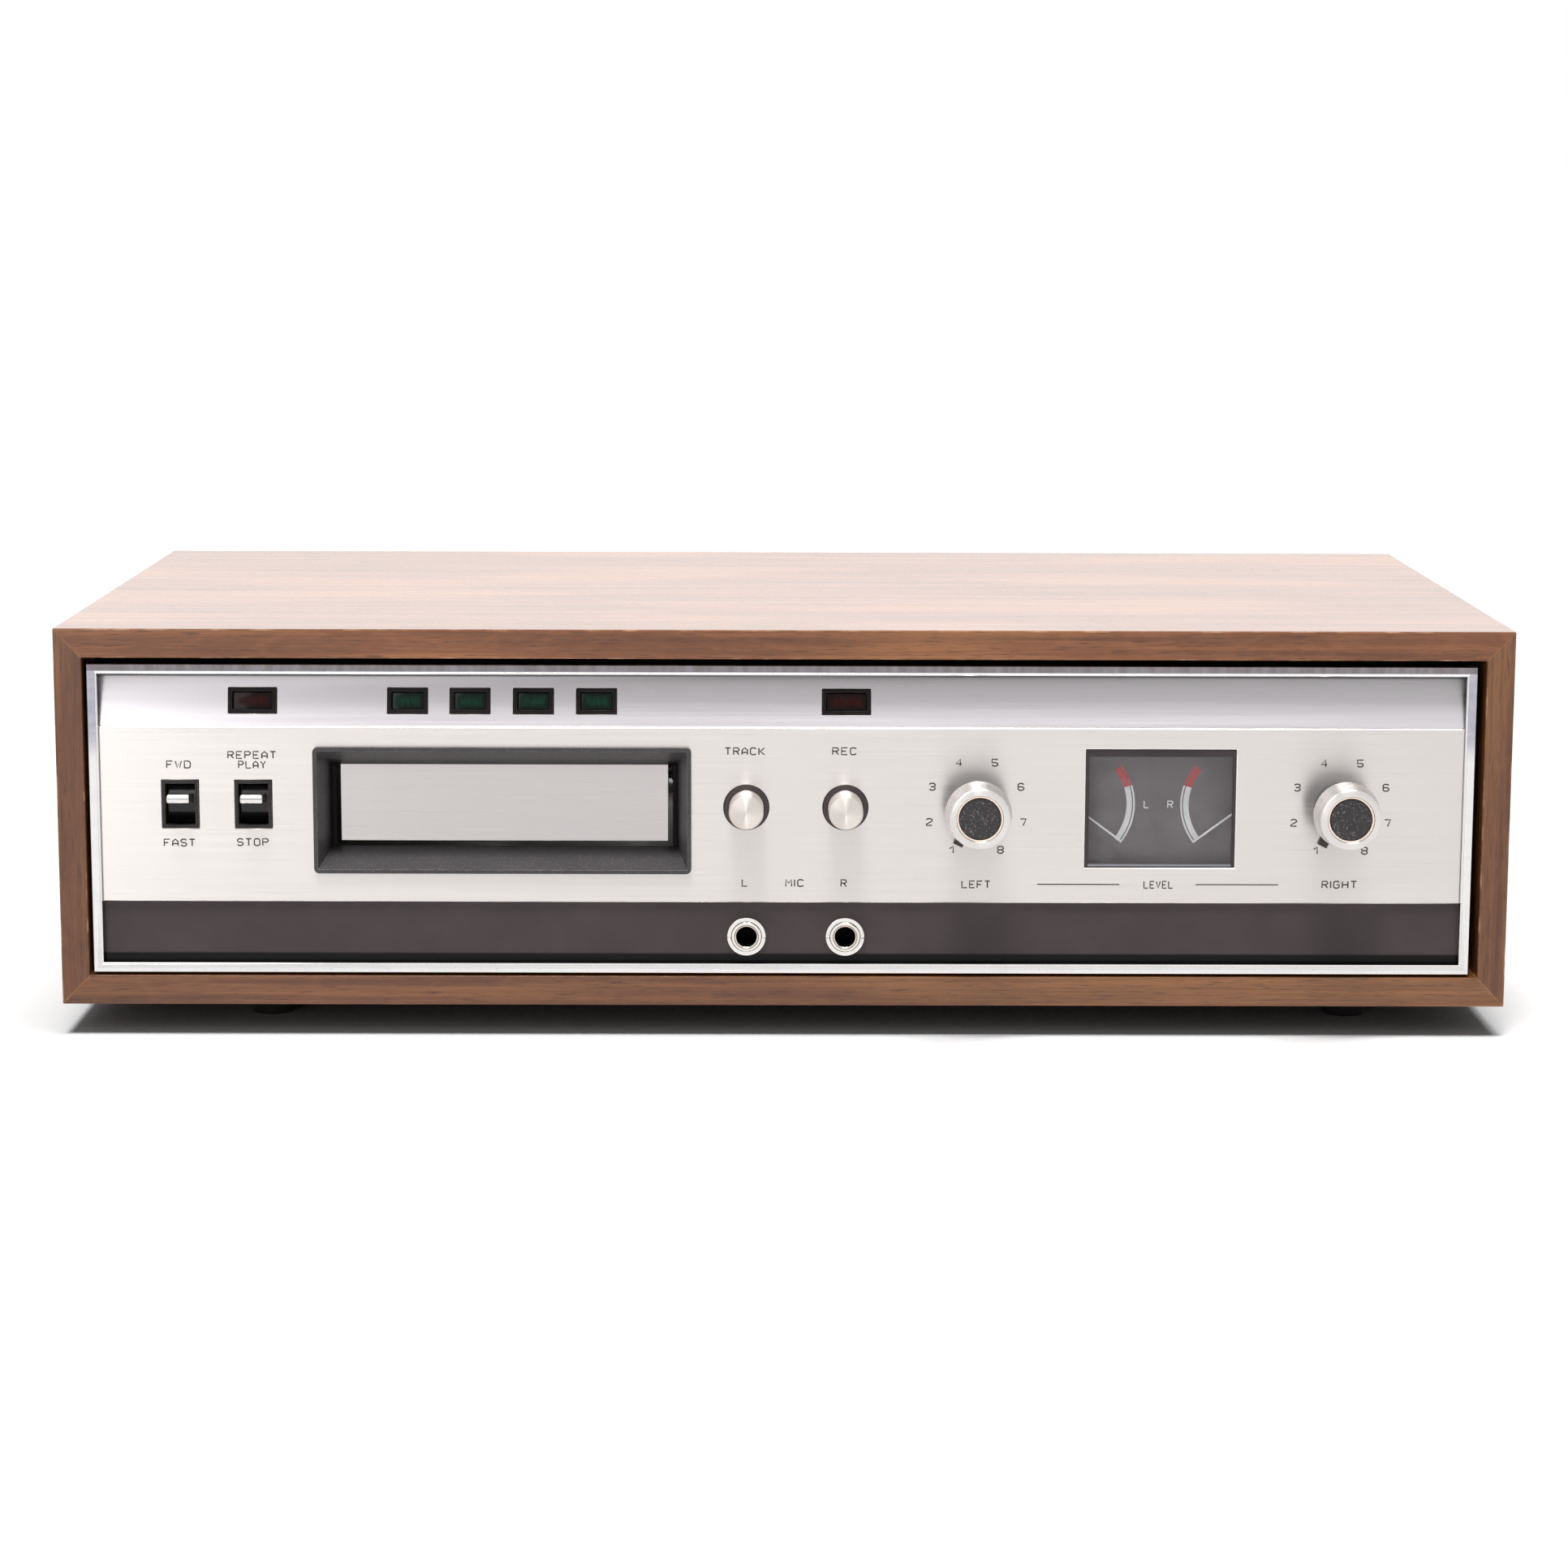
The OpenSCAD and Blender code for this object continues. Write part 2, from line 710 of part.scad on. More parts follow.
module cord_grommet() {
    color("#1b1b1b") place() difference() {
        union() {
            rod_y(cord_x, cord_z, rear_y0 - grommet_t, rear_y0, grommet_d);
            rod_y(cord_x, cord_z, rear_y0 - eps, rear_y0 + sheet_t + eps, grommet_neck_d);
            rod_y(cord_x, cord_z, rear_y0 + sheet_t, rear_y0 + sheet_t + grommet_t, grommet_d);
        }
        rod_y(cord_x, cord_z, rear_y0 - grommet_t - 1, rear_y0 + sheet_t + grommet_t + 1, cord_d);
    }
}

// Front unit

module chrome_trim() {
    zc = (trim_z0 + trim_z1) / 2;
    inner_w = trim_w - 2 * trim_strip;
    inner_h = trim_h - 2 * trim_strip;
    web_w = trim_w - 2 * trim_web;
    web_h = trim_h - 2 * trim_web;
    color("#d9dcdf") place() difference() {
        upright(trim_recess, sub_recess - trim_recess) translate([unit_x, zc])
            square([trim_w, trim_h], center = true);
        upright(trim_recess - eps, sub_recess) translate([unit_x, zc])
            square([inner_w, inner_h], center = true);
        upright(trim_recess + trim_flange_t, sub_recess) translate([unit_x, zc])
            square([web_w, web_h], center = true);
    }
}

module front_panel() {
    color("#c6c4bf") place() difference() {
        lengthwise(panel_x0, panel_x1) polygon([
            [panel_recess, panel_z0],
            [panel_recess, panel_z1],
            [sub_recess, panel_z1],
            [sub_recess, panel_z1 - lip_t],
            [panel_back, panel_z1 - lip_t],
            [panel_back, panel_z0 + lip_t],
            [sub_recess, panel_z0 + lip_t],
            [sub_recess, panel_z0]
        ]);
        for (x = switch_x) {
            upright(panel_recess - 1, panel_cut) translate([x, switch_z])
                square([switch_w + 2 * fit, switch_h + 2 * fit], center = true);
        }
        upright(panel_recess - 1, panel_cut) translate([slot_x, slot_z])
            square([bezel_hole_w, bezel_hole_h], center = true);
        for (x = button_x) {
            rod_y(x, control_z, panel_recess - 1, panel_recess - 1 + panel_cut, collar_d + 2 * fit);
        }
        for (x = knob_x) {
            rod_y(x, control_z, panel_recess - 1, panel_recess - 1 + panel_cut, pot_bush_d + 1);
        }
        upright(panel_recess - 1, panel_cut) translate([meter_x, meter_z])
            square([meter_w + 2 * window_fit, meter_h + 2 * window_fit], center = true);
    }
}

module lamp_strip() {
    depth = lamp_plate_t / cos(lamp_lean);
    color("#c9cac9") place() difference() {
        lengthwise(panel_x0, panel_x1) polygon([
            [lamp_y0, panel_z1],
            [lamp_y1, unit_z1],
            [sub_recess, unit_z1],
            [sub_recess, unit_z1 - lip_t],
            [lamp_y1 + depth, unit_z1 - lip_t],
            [lamp_y0 + depth, panel_z1]
        ]);
        for (lamp = lamp_xw) {
            on_lamp_face(lamp[0]) cube([lamp[1], 12, lamp_h], center = true);
        }
    }
}

// Moulded bar with a wall at the front and a lip along each long edge
module lower_band() {
    wall = 2;
    color("#232221") place() difference() {
        lengthwise(panel_x0, panel_x1) polygon([
            [band_recess, unit_z0],
            [band_recess, panel_z0 - fit],
            [sub_recess, panel_z0 - fit],
            [sub_recess, panel_z0 - fit - wall],
            [band_recess + wall, panel_z0 - fit - wall],
            [band_recess + wall, unit_z0 + wall],
            [sub_recess, unit_z0 + wall],
            [sub_recess, unit_z0]
        ]);
        for (x = jack_x) {
            rod_y(x, jack_z, band_recess - 1, sub_recess, jack_bush_d + 2 * fit);
        }
    }
}

module sub_panel() {
    color("#a3a29c") place() difference() {
        block(
            [panel_x0, sub_recess, bottom_t],
            [panel_x1, sub_back, cab_h - top_t - sub_gap]
        );
        for (x = switch_x) {
            upright(sub_recess - 1, sheet_t + 2) translate([x, switch_z])
                square([housing_w + 2 * fit, housing_h + 2 * fit], center = true);
        }
        upright(sub_recess - 1, sheet_t + 2) translate([slot_x, slot_z])
            square([bezel_hole_w, bezel_hole_h], center = true);
        for (x = button_x) {
            rod_y(x, control_z, sub_recess - 1, sub_back + 1, collar_d + 2 * fit);
        }
        for (x = knob_x) {
            rod_y(x, control_z, sub_recess - 1, sub_back + 1, pot_bush_d + 2 * fit);
        }
        upright(sub_recess - 1, sheet_t + 2) translate([meter_x, meter_z])
            square([meter_box_w + 2 * fit, meter_box_h + 2 * fit], center = true);
        for (x = jack_x) {
            rod_y(x, jack_z, sub_recess - 1, sub_back + 1, jack_bush_d + 2 * fit);
        }
        for (lamp = lamp_xw) {
            upright(sub_recess - 1, sheet_t + 2) translate([lamp[0], panel_z1 + lamp_up])
                square([lamp[1], lamp_hole_h - 1], center = true);
        }
    }
}

// Four-sided funnel: the overlap of a wedge seen from above and a wedge seen from the side
module funnel(y0, y1, w0, w1, h0, h1) {
    over = 1;
    dw = (w0 - w1) / (y1 - y0) * over / 2;
    dh = (h0 - h1) / (y1 - y0) * over / 2;
    intersection() {
        translate([0, 0, -h0]) linear_extrude(2 * h0) polygon([
            [-w0 / 2 - dw, y0 - over],
            [w0 / 2 + dw, y0 - over],
            [w1 / 2 - dw, y1 + over],
            [-w1 / 2 + dw, y1 + over]
        ]);
        lengthwise(-w0, w0) polygon([
            [y0 - over, -h0 / 2 - dh],
            [y0 - over, h0 / 2 + dh],
            [y1 + over, h1 / 2 - dh],
            [y1 + over, -h1 / 2 + dh]
        ]);
    }
}

module slot_bezel() {
    color("#262626") place() translate([slot_x, 0, slot_z]) difference() {
        union() {
            upright(bezel_y0, bezel_proud) round_rect(bezel_w, bezel_h, 1.6);
            upright(bezel_y0 + eps, mouth_y - bezel_y0 - eps)
                square([bezel_body_w, bezel_body_h], center = true);
        }
        funnel(bezel_y0, mouth_y, funnel_w, mouth_w, funnel_h, mouth_h);
    }
}

module door_leaf() {
    color("#bdbcb9") place() block(
        [slot_x - door_w / 2, door_y, door_z0],
        [slot_x + door_w / 2, door_y + door_leaf_t, door_top]
    );
}

// Plastic back of the flap, with the barrel that turns on the hinge pin
module door_carrier() {
    y0 = door_y + door_leaf_t;
    y1 = y0 + 2;
    color("#2b2b2b") place() difference() {
        union() {
            block([slot_x - carrier_w / 2, y0, door_z0 + 1], [slot_x + carrier_w / 2, y1, door_pin_z]);
            rod_x(door_pin_y, door_pin_z, slot_x - carrier_w / 2, slot_x + carrier_w / 2, 2 * barrel_r);
        }
        block([slot_x - door_w, 0, door_z0 - 5], [slot_x + door_w, y0, door_pin_z + 9]);
        rod_x(door_pin_y, door_pin_z, slot_x - door_w, slot_x + door_w, door_pin_d + 2 * run);
    }
}

module door_pin() {
    reach = bay_w / 2 + rail_t + 0.6;
    color("#b5b5b2") place()
        rod_x(door_pin_y, door_pin_z, slot_x - reach, slot_x + reach, door_pin_d);
}

// Lamp windows

module lamp_bezels() {
    color("#17181a") place() for (lamp = lamp_xw) {
        on_lamp_face(lamp[0]) difference() {
            translate([0, lamp_frame_y0 + lamp_frame_depth / 2, 0])
                cube([lamp[1] - 2 * fit, lamp_frame_depth, lamp_h - 2 * fit], center = true);
            cube([lamp[1] - 2 * lamp_frame, 20, lamp_h - 2 * lamp_frame], center = true);
        }
    }
}

// One lens, held inside its bezel
module lens(x, w) {
    on_lamp_face(x) translate([0, lens_y + lens_t / 2, 0])
        cube([w - 2 * lamp_frame - 2 * fit, lens_t, lamp_h - 2 * lamp_frame - 2 * fit], center = true);
}

module red_lenses() {
    color("#4a1413") place() for (x = lamp_red_x) lens(x, lamp_red_w);
}

module green_lenses() {
    color("#0f3d2a") place() for (x = lamp_green_x) lens(x, lamp_green_w);
}

// Strip board behind the sub-panel, with a small lamp on a collar for each window
module lamp_board() {
    z = panel_z1 + lamp_up;
    color("#b59a5a") place() {
        block(
            [lamp_red_x[0] - lamp_board_end, lamp_board_y, z - lamp_board_h / 2],
            [lamp_red_x[1] + lamp_board_end, lamp_board_y + board_t, z + lamp_board_h / 2]
        );
        for (lamp = lamp_xw) {
            rod_y(lamp[0], z, lamp_bulb_y0, lamp_board_y - 2 - fit, lamp_bulb_d);
            rod_y(lamp[0], z, lamp_board_y - 2, lamp_board_y + eps, lamp_bulb_d + 2);
        }
        for (x = lamp_post_x) {
            rod_y(x, z, sub_back, lamp_board_y + eps, lamp_bulb_d);
        }
    }
}

// Lever switches

module switch_housings() {
    color("#1a1a1b") place() for (x = switch_x) {
        translate([x, 0, switch_z]) difference() {
            union() {
                upright(panel_recess - 0.2, sub_recess - panel_recess)
                    square([switch_w, switch_h], center = true);
                upright(panel_back, housing_back - panel_back)
                    square([housing_w, housing_h], center = true);
            }
            upright(panel_recess - 1, housing_back) square([cavity_w, cavity_mouth_h], center = true);
            upright(panel_back + 1, housing_back - panel_back - 3)
                square([cavity_w, housing_h - 3], center = true);
            rod_x(lever_pivot_y, 0, -housing_w, housing_w, trunnion_d + 2 * run);
        }
    }
}

// Turns its children about a lever's pivot to the raised rest position
module at_lever(x) {
    translate([x, lever_pivot_y, switch_z]) rotate([-lever_tilt, 0, 0]) children();
}

// Drum with stub axles; the slot at its front takes the chrome tip
module lever(x) {
    at_lever(x) difference() {
        union() {
            difference() {
                rod_x(0, 0, -lever_w / 2, lever_w / 2, 2 * lever_drum_r);
                block([-lever_w, 4, -lever_drum_r - 1], [lever_w, lever_drum_r + 1, lever_drum_r + 1]);
            }
            rod_x(0, 0, -housing_w / 2, housing_w / 2, trunnion_d);
        }
        block([-tip_w / 2, -lever_drum_r - 1, -tip_t / 2], [tip_w / 2, -lever_drum_r + 4, tip_t / 2]);
    }
}

// Chrome paddle with a rounded nose
module lever_tip(x) {
    nose = -tip_reach + tip_t / 2;
    at_lever(x) union() {
        block([-tip_w / 2, nose, -tip_t / 2], [tip_w / 2, -lever_drum_r + 4, tip_t / 2]);
        rod_x(nose, 0, -tip_w / 2, tip_w / 2, tip_t);
    }
}

module forward_lever() {
    color("#202021") place() lever(switch_x[0]);
}

module forward_tip() {
    color("#dcdedf") place() lever_tip(switch_x[0]);
}

module play_lever() {
    color("#202021") place() lever(switch_x[1]);
}

module play_tip() {
    color("#dcdedf") place() lever_tip(switch_x[1]);
}

// Push buttons

// Switch bodies, each with a nose that shows as a black collar round its button, and the
// start switch that the lock arm works
module push_switches() {
    color("#1c1c1c") place() for (x = button_x) {
        difference() {
            union() {
                rod_y(x, control_z, panel_recess - 0.3, sub_back + eps, collar_d);
                block(
                    [x - push_w / 2, sub_back, control_z - push_h / 2],
                    [x + push_w / 2, push_y1, control_z + push_h / 2]
                );
            }
            rod_y(x, control_z, panel_recess - 2, head_room, button_d + 4 * fit);
            rod_y(x, control_z, head_room - 1, push_y1 + 1, stem_d + 2 * run);
        }
    }
    color("#1c1c1c") place() translate(start_switch) cube(start_switch_size);
}

module push_button(x) {
    rod_y(x, control_z, button_y0, button_back, button_d);
    rod_y(x, control_z, button_back - eps, stem_back, stem_d);
}

module program_button() {
    color("#d3d0ca") place() push_button(button_x[0]);
}

module record_button() {
    color("#d3d0ca") place() push_button(button_x[1]);
}

// Knobs

// Turned body that widens to its waist and has a narrower neck behind it, with a sunk face for
// the cap and a bore for the shaft
module knob(x) {
    front = knob_out - knob_gap;
    color("#cfd0cf") place() translate([x, 0, control_z]) {
        difference() {
            translate([0, knob_y1, 0]) rotate([90, 0, 0]) rotate_extrude() polygon([
                [0, 0],
                [knob_neck_d / 2, 0],
                [knob_neck_d / 2, front - knob_waist - knob_waist_t],
                [knob_d / 2, front - knob_waist - knob_waist_t],
                [knob_d / 2, front - knob_waist],
                [knob_front_d / 2, front - knob_rim_t],
                [knob_front_d / 2 - knob_rim_t, front],
                [0, front]
            ]);
            rod_y(0, 0, knob_y0 - 1, knob_y0 + cap_t + cap_sink, cap_d + 2 * fit);
            rod_y(0, 0, shaft_front - 1, knob_y1 + 1, shaft_d + 2 * run);
            rod_y(0, 0, knob_y1 - 3, knob_y1 + 1, pot_bush_d + 4);
        }
    }
}

module knob_cap(x) {
    color("#1c1c1e") place()
        rod_y(x, control_z, knob_y0 + cap_sink, knob_y0 + cap_sink + cap_t, cap_d);
}

// Shaft with the index plate that shows under the knob, pointing at the first number
module pot_shaft(x) {
    plate_y = knob_y1 + 0.2;
    color("#3a3a3a") place() translate([x, 0, control_z]) union() {
        rod_y(0, 0, shaft_front, shaft_back, shaft_d);
        rod_y(0, 0, plate_y, plate_y + index_t, pot_bush_d + 1);
        upright(plate_y, index_t) rotate(index_angle)
            translate([0, -index_w / 2]) square([index_r, index_w]);
    }
}

module left_knob() {
    knob(knob_x[0]);
}

module left_knob_cap() {
    knob_cap(knob_x[0]);
}

module left_pot_shaft() {
    pot_shaft(knob_x[0]);
}

module right_knob() {
    knob(knob_x[1]);
}

module right_knob_cap() {
    knob_cap(knob_x[1]);
}

module right_pot_shaft() {
    pot_shaft(knob_x[1]);
}

module level_pots() {
    color("#9a9a95") place() for (x = knob_x) {
        difference() {
            union() {
                rod_y(x, control_z, sub_back, pot_y1 + 4, pot_d);
                rod_y(x, control_z, panel_recess + 0.3, sub_back + eps, pot_bush_d);
                block([x - 8, sub_back, control_z - pot_d / 2 - 6], [x + 8, sub_back + 3, control_z]);
            }
            rod_y(x, control_z, 0, shaft_back + 1, shaft_d + 2 * run);
        }
    }
}

// Jacks

module mic_jacks() {
    color("#c4c2bb") place() for (x = jack_x) {
        difference() {
            union() {
                rod_y(x, jack_z, jack_front, sub_back + eps, jack_bush_d);
                block(
                    [x - jack_body / 2, sub_back, jack_z - jack_body / 2 + 2],
                    [x + jack_body / 2, jack_back, jack_z + jack_body / 2]
                );
            }
            rod_y(x, jack_z, jack_front - 1, jack_bore_y1, jack_bore);
        }
    }
}

// Slotted round nuts on the jacks in front, and plain ones on the level controls behind
module panel_nuts() {
    color("#cfcdc6") place() {
        for (x = jack_x) {
            difference() {
                rod_y(x, jack_z, band_recess - jack_nut_t, band_recess, jack_nut_d);
                rod_y(x, jack_z, band_recess - 5, band_recess + 1, jack_bush_d + 2 * fit);
                block(
                    [x - jack_nut_d, band_recess - jack_nut_t - 1, jack_z - nut_slot_w / 2],
                    [x + jack_nut_d, band_recess - jack_nut_t + nut_slot_t, jack_z + nut_slot_w / 2]
                );
            }
        }
        for (x = knob_x) {
            difference() {
                rod_y(x, control_z, sub_recess - 2, sub_recess, pot_nut_d);
                rod_y(x, control_z, sub_recess - 4, sub_recess + 1, pot_bush_d + 2 * fit);
            }
        }
    }
}

// Level meter

module meter_housing() {
    color("#202124") place() translate([meter_x, 0, meter_z]) difference() {
        upright(panel_back, meter_back - panel_back) square([meter_box_w, meter_box_h], center = true);
        upright(panel_back - 1, dial_y + dial_t - panel_back + 1)
            square([meter_in_w, meter_in_h], center = true);
        for (x = [-pivot_out, pivot_out]) {
            rod_y(x, 0, dial_y, meter_back - 2, needle_shaft_d + 2 * run);
        }
    }
}

module meter_dial() {
    color("#3b3d40") place() translate([meter_x, 0, meter_z]) difference() {
        upright(dial_y, dial_t) square([meter_in_w - 2 * fit, meter_in_h - 2 * fit], center = true);
        for (x = [-pivot_out, pivot_out]) {
            rod_y(x, 0, dial_y - 1, dial_y + 2, needle_shaft_d + 2);
        }
    }
}

// Clear cover: a pane in the panel's opening, with a flange behind the panel
module meter_window() {
    color("#dfe6e8", 0.3) place() translate([meter_x, 0, meter_z]) union() {
        upright(panel_recess + 0.3, panel_t - 0.3 + eps)
            square([meter_w, meter_h], center = true);
        upright(panel_back, window_flange)
            square([meter_in_w - 2 * fit, meter_in_h - 2 * fit], center = true);
    }
}

// A needle seen from the front: a hub, a thin arm and the shaft that carries both
module needle(side) {
    color("#e9e9e6") place() translate([meter_x + side * pivot_out, 0, meter_z]) {
        upright(needle_y, needle_t) rotate(side > 0 ? 180 + needle_rest : -needle_rest)
            translate([0, -needle_w / 2]) square([needle_len, needle_w]);
        rod_y(0, 0, needle_y, needle_y + needle_t + 0.3, needle_hub_d);
        rod_y(0, 0, needle_y, meter_back - 3, needle_shaft_d);
    }
}

module left_needle() {
    needle(-1);
}

module right_needle() {
    needle(1);
}

// Tape drive

module deck_plate() {
    color("#b7b8b4") place() difference() {
        block([deck_x0, deck_y0, deck_bottom], [deck_x1, deck_y1, deck_z]);
        translate([capstan_x, capstan_y, deck_bottom - 1])
            cylinder(h = deck_t + 2, r = bearing_r - 2 + fit);
        translate([motor_x, motor_y, deck_bottom - 1]) cylinder(h = deck_t + 2, d = pulley_d + 4);
        for (x = post_x, y = post_y) {
            translate([x, y, deck_bottom - 1]) cylinder(h = deck_t + 2, d = screw_d + 2 * fit);
        }
    }
}

// Posts under the deck and the circuit board, and the pivots that stand on the deck
module standoffs() {
    color("#c7c5bd") place() {
        for (x = post_x, y = post_y) {
            translate([x, y, floor_z]) difference() {
                cylinder(h = deck_bottom - floor_z, d = post_d);
                translate([0, 0, deck_bottom - floor_z - screw_len])
                    cylinder(h = screw_len + 1, d = screw_d + 2 * fit);
            }
        }
        for (x = [-1, 1], y = [-1, 1]) {
            translate([board_x + x * board_post[0], board_y + y * board_post[1], floor_z]) difference() {
                cylinder(h = board_z - floor_z, d = post_d);
                translate([0, 0, 1]) cylinder(h = board_z, d = screw_d + 2 * fit);
            }
        }
        translate([arm_x, arm_y, deck_z]) cylinder(h = 16, d = arm_post_d);
        translate([arm_x, arm_y, deck_z]) cylinder(h = arm_z - deck_z - clear, d = arm_post_d + 3);
        translate([cam_x, cam_y, deck_z]) cylinder(h = cam_z - deck_z + 8, d = cam_post_d);
        translate([cam_x, cam_y, deck_z]) cylinder(h = cam_z - deck_z - clear, d = cam_post_d + 4);
        translate([head_post_x, head_post_y, deck_z]) cylinder(h = 32, d = head_post_d);
    }
}

// Two angle rails that stand on the deck, one each side of the cartridge
module guide_rails() {
    color("#a6a7a3") place() for (side = [-1, 1]) {
        translate([slot_x, 0, 0]) mirror([side < 0 ? 1 : 0, 0, 0]) difference() {
            union() {
                block([bay_w / 2, rail_y0, deck_z], [bay_w / 2 + rail_t, rail_y1, rail_z1]);
                block([bay_w / 2, rail_foot_y0, deck_z], [bay_w / 2 + rail_foot, rail_y1, deck_z + rail_t]);
            }
            rod_x(door_pin_y, door_pin_z, bay_w / 2 - 1, bay_w / 2 + rail_t + 1, door_pin_d + 2 * run);
        }
    }
}

module motor() {
    color("#8f9292") place() difference() {
        translate([motor_x, motor_y, deck_z]) cylinder(h = motor_h, d = motor_d);
        translate([motor_x, motor_y, deck_z - 1]) cylinder(h = motor_h - 2, d = motor_shaft_d + 2 * run);
    }
}

module motor_pulley() {
    z0 = belt_z - pulley_flange - clear;
    h = belt_w + 2 * clear;
    color("#c9b36a") place() translate([motor_x, motor_y, 0]) {
        translate([0, 0, z0]) cylinder(h = h + 2 * pulley_flange, d = pulley_d);
        translate([0, 0, z0]) cylinder(h = pulley_flange, d = pulley_d + 3);
        translate([0, 0, z0 + h + pulley_flange]) cylinder(h = pulley_flange, d = pulley_d + 3);
        translate([0, 0, z0]) cylinder(h = deck_z + motor_h - 6 - z0, d = motor_shaft_d);
    }
}

// Outline that wraps the flywheel and the pulley
module belt_outline(r1, r2) {
    hull() {
        translate([capstan_x, capstan_y]) circle(r1, $fn = 96);
        translate([motor_x, motor_y]) circle(r2, $fn = 32);
    }
}

module drive_belt() {
    wheel = flywheel_d / 2 + clear;
    pulley = pulley_d / 2 + clear;
    color("#151515") place() translate([0, 0, belt_z]) linear_extrude(belt_w) difference() {
        belt_outline(wheel + belt_t, pulley + belt_t);
        belt_outline(wheel, pulley);
    }
}

module flywheel() {
    color("#a8a69d") place() translate([capstan_x, capstan_y, 0]) {
        difference() {
            translate([0, 0, flywheel_z]) cylinder(h = flywheel_t, d = flywheel_d, $fn = 128);
            translate([0, 0, flywheel_z + flywheel_t - 4]) difference() {
                cylinder(h = 5, d = flywheel_d - 14, $fn = 128);
                cylinder(h = 5, d = flywheel_hub_d);
            }
        }
        translate([0, 0, capstan_foot]) cylinder(h = capstan_top - capstan_foot, d = capstan_d);
    }
}

// Upper sleeve in the deck plate and lower thrust block on the chassis floor
module capstan_bearings() {
    sleeve_r = bearing_r - 2;
    flange_z = deck_bottom - 4;
    color("#b89a4e") place() translate([capstan_x, capstan_y, 0]) {
        difference() {
            union() {
                translate([0, 0, flange_z]) cylinder(h = 4, r = bearing_r);
                translate([0, 0, flange_z]) cylinder(h = 4 + deck_t + bearing_top, r = sleeve_r);
            }
            translate([0, 0, flange_z - 1])
                cylinder(h = deck_z - flange_z + 2 * bearing_top, d = capstan_d + 2 * run);
        }
        difference() {
            translate([0, 0, floor_z]) cylinder(h = flywheel_z - floor_z - 1, r = bearing_r);
            translate([0, 0, capstan_foot - clear])
                cylinder(h = flywheel_z - capstan_foot, d = capstan_d + 2 * run);
        }
    }
}

module tape_head() {
    color("#c5c7c8") place() block(
        [head_x - head_w / 2, head_y0, carriage_z],
        [head_x + head_w / 2, head_y0 + head_depth, carriage_z + head_h]
    );
}

// Upright plate that rides on the head post, with an arm and a peg over the cam
module head_carriage() {
    z0 = carriage_z - 1;
    z1 = carriage_z + head_h;
    peg_z = cam_z + cam_wheel_t + 1 + clear;
    color("#8d8f8e") place() difference() {
        union() {
            block([head_x - head_w / 2 - 8, carriage_y, z0], [head_x + head_w / 2 + 6, carriage_y + 2, z1]);
            block([head_post_x - 4, carriage_y + 1, z0 + 1], [head_post_x + 4, head_post_y + 4, z1 - 3]);
            block([head_x + 2, carriage_y, z0 + 4], [cam_x + 2, cam_y - cam_peg_r + 1, z0 + 8]);
            block([cam_x - 2, carriage_y, z0 + 4], [cam_x + 2, cam_y - cam_peg_r + 1, z0 + 8]);
            translate([cam_x, cam_y - cam_peg_r, peg_z]) cylinder(h = z0 + 6 - peg_z, r = follower_r);
        }
        translate([head_post_x, head_post_y, z0 - 1]) cylinder(h = 40, d = head_post_d + 2 * run);
    }
}

// Ratchet wheel with a four-step face cam round its hub
module program_cam() {
    color("#d6d2c4") place() translate([cam_x, cam_y, cam_z]) difference() {
        union() {
            linear_extrude(cam_wheel_t) for (i = [0:cam_teeth - 1]) {
                rotate(i * 360 / cam_teeth) polygon([
                    [0, 0],
                    [cam_d / 2, 0],
                    [(cam_d / 2 - 2) * cos(360 / cam_teeth), (cam_d / 2 - 2) * sin(360 / cam_teeth)]
                ]);
            }
            translate([0, 0, cam_wheel_t - eps]) cylinder(h = 1 + eps, r = cam_hub_r);
            for (i = [1:3]) {
                intersection() {
                    translate([0, 0, cam_wheel_t + 1 - eps])
                        cylinder(h = i * step_rise + eps, r = cam_hub_r);
                    rotate(cam_start - 90 * i + cam_lead) cube([2 * cam_hub_r, 2 * cam_hub_r, 20]);
                }
            }
        }
        translate([0, 0, -1]) cylinder(h = 20, d = cam_post_d + 2 * run);
    }
}

module solenoid() {
    color("#8a8c86") place() translate([sol_x, sol_y, sol_z]) difference() {
        translate([0, -sol_d / 2, 0]) cube([sol_w, sol_d, sol_h]);
        rod_x(0, plunger_rise, -1, sol_w - 4, plunger_d + 2 * run);
    }
}

// Plunger with the pawl that lies along the ratchet's edge
module solenoid_plunger() {
    color("#c4c4c0") place() translate([sol_x, sol_y, sol_z]) union() {
        rod_x(0, plunger_rise, -plunger_out, sol_w - plunger_end - plunger_travel, plunger_d);
        block(
            [cam_x - sol_x - 2, -1.2, plunger_rise - pawl_h / 2],
            [2 - plunger_out, 1.2, plunger_rise + pawl_h / 2]
        );
    }
}

// Arm on a post beside the rail; its roller reaches into the bay behind the rail's end
module lock_arm() {
    dx = roller_x - arm_x;
    dy = roller_y - arm_y;
    color("#9c9d99") place() translate([arm_x, arm_y, arm_z]) difference() {
        union() {
            cylinder(h = arm_hub_h, r = arm_w);
            rotate(atan2(dy, dx)) translate([0, -arm_w / 2, 0]) cube([norm([dx, dy]), arm_w, arm_t]);
            translate([dx, dy, 0]) cylinder(h = roller_h, r = roller_r);
        }
        translate([0, 0, -1]) cylinder(h = arm_hub_h + 2, d = arm_post_d + 2 * run);
    }
}

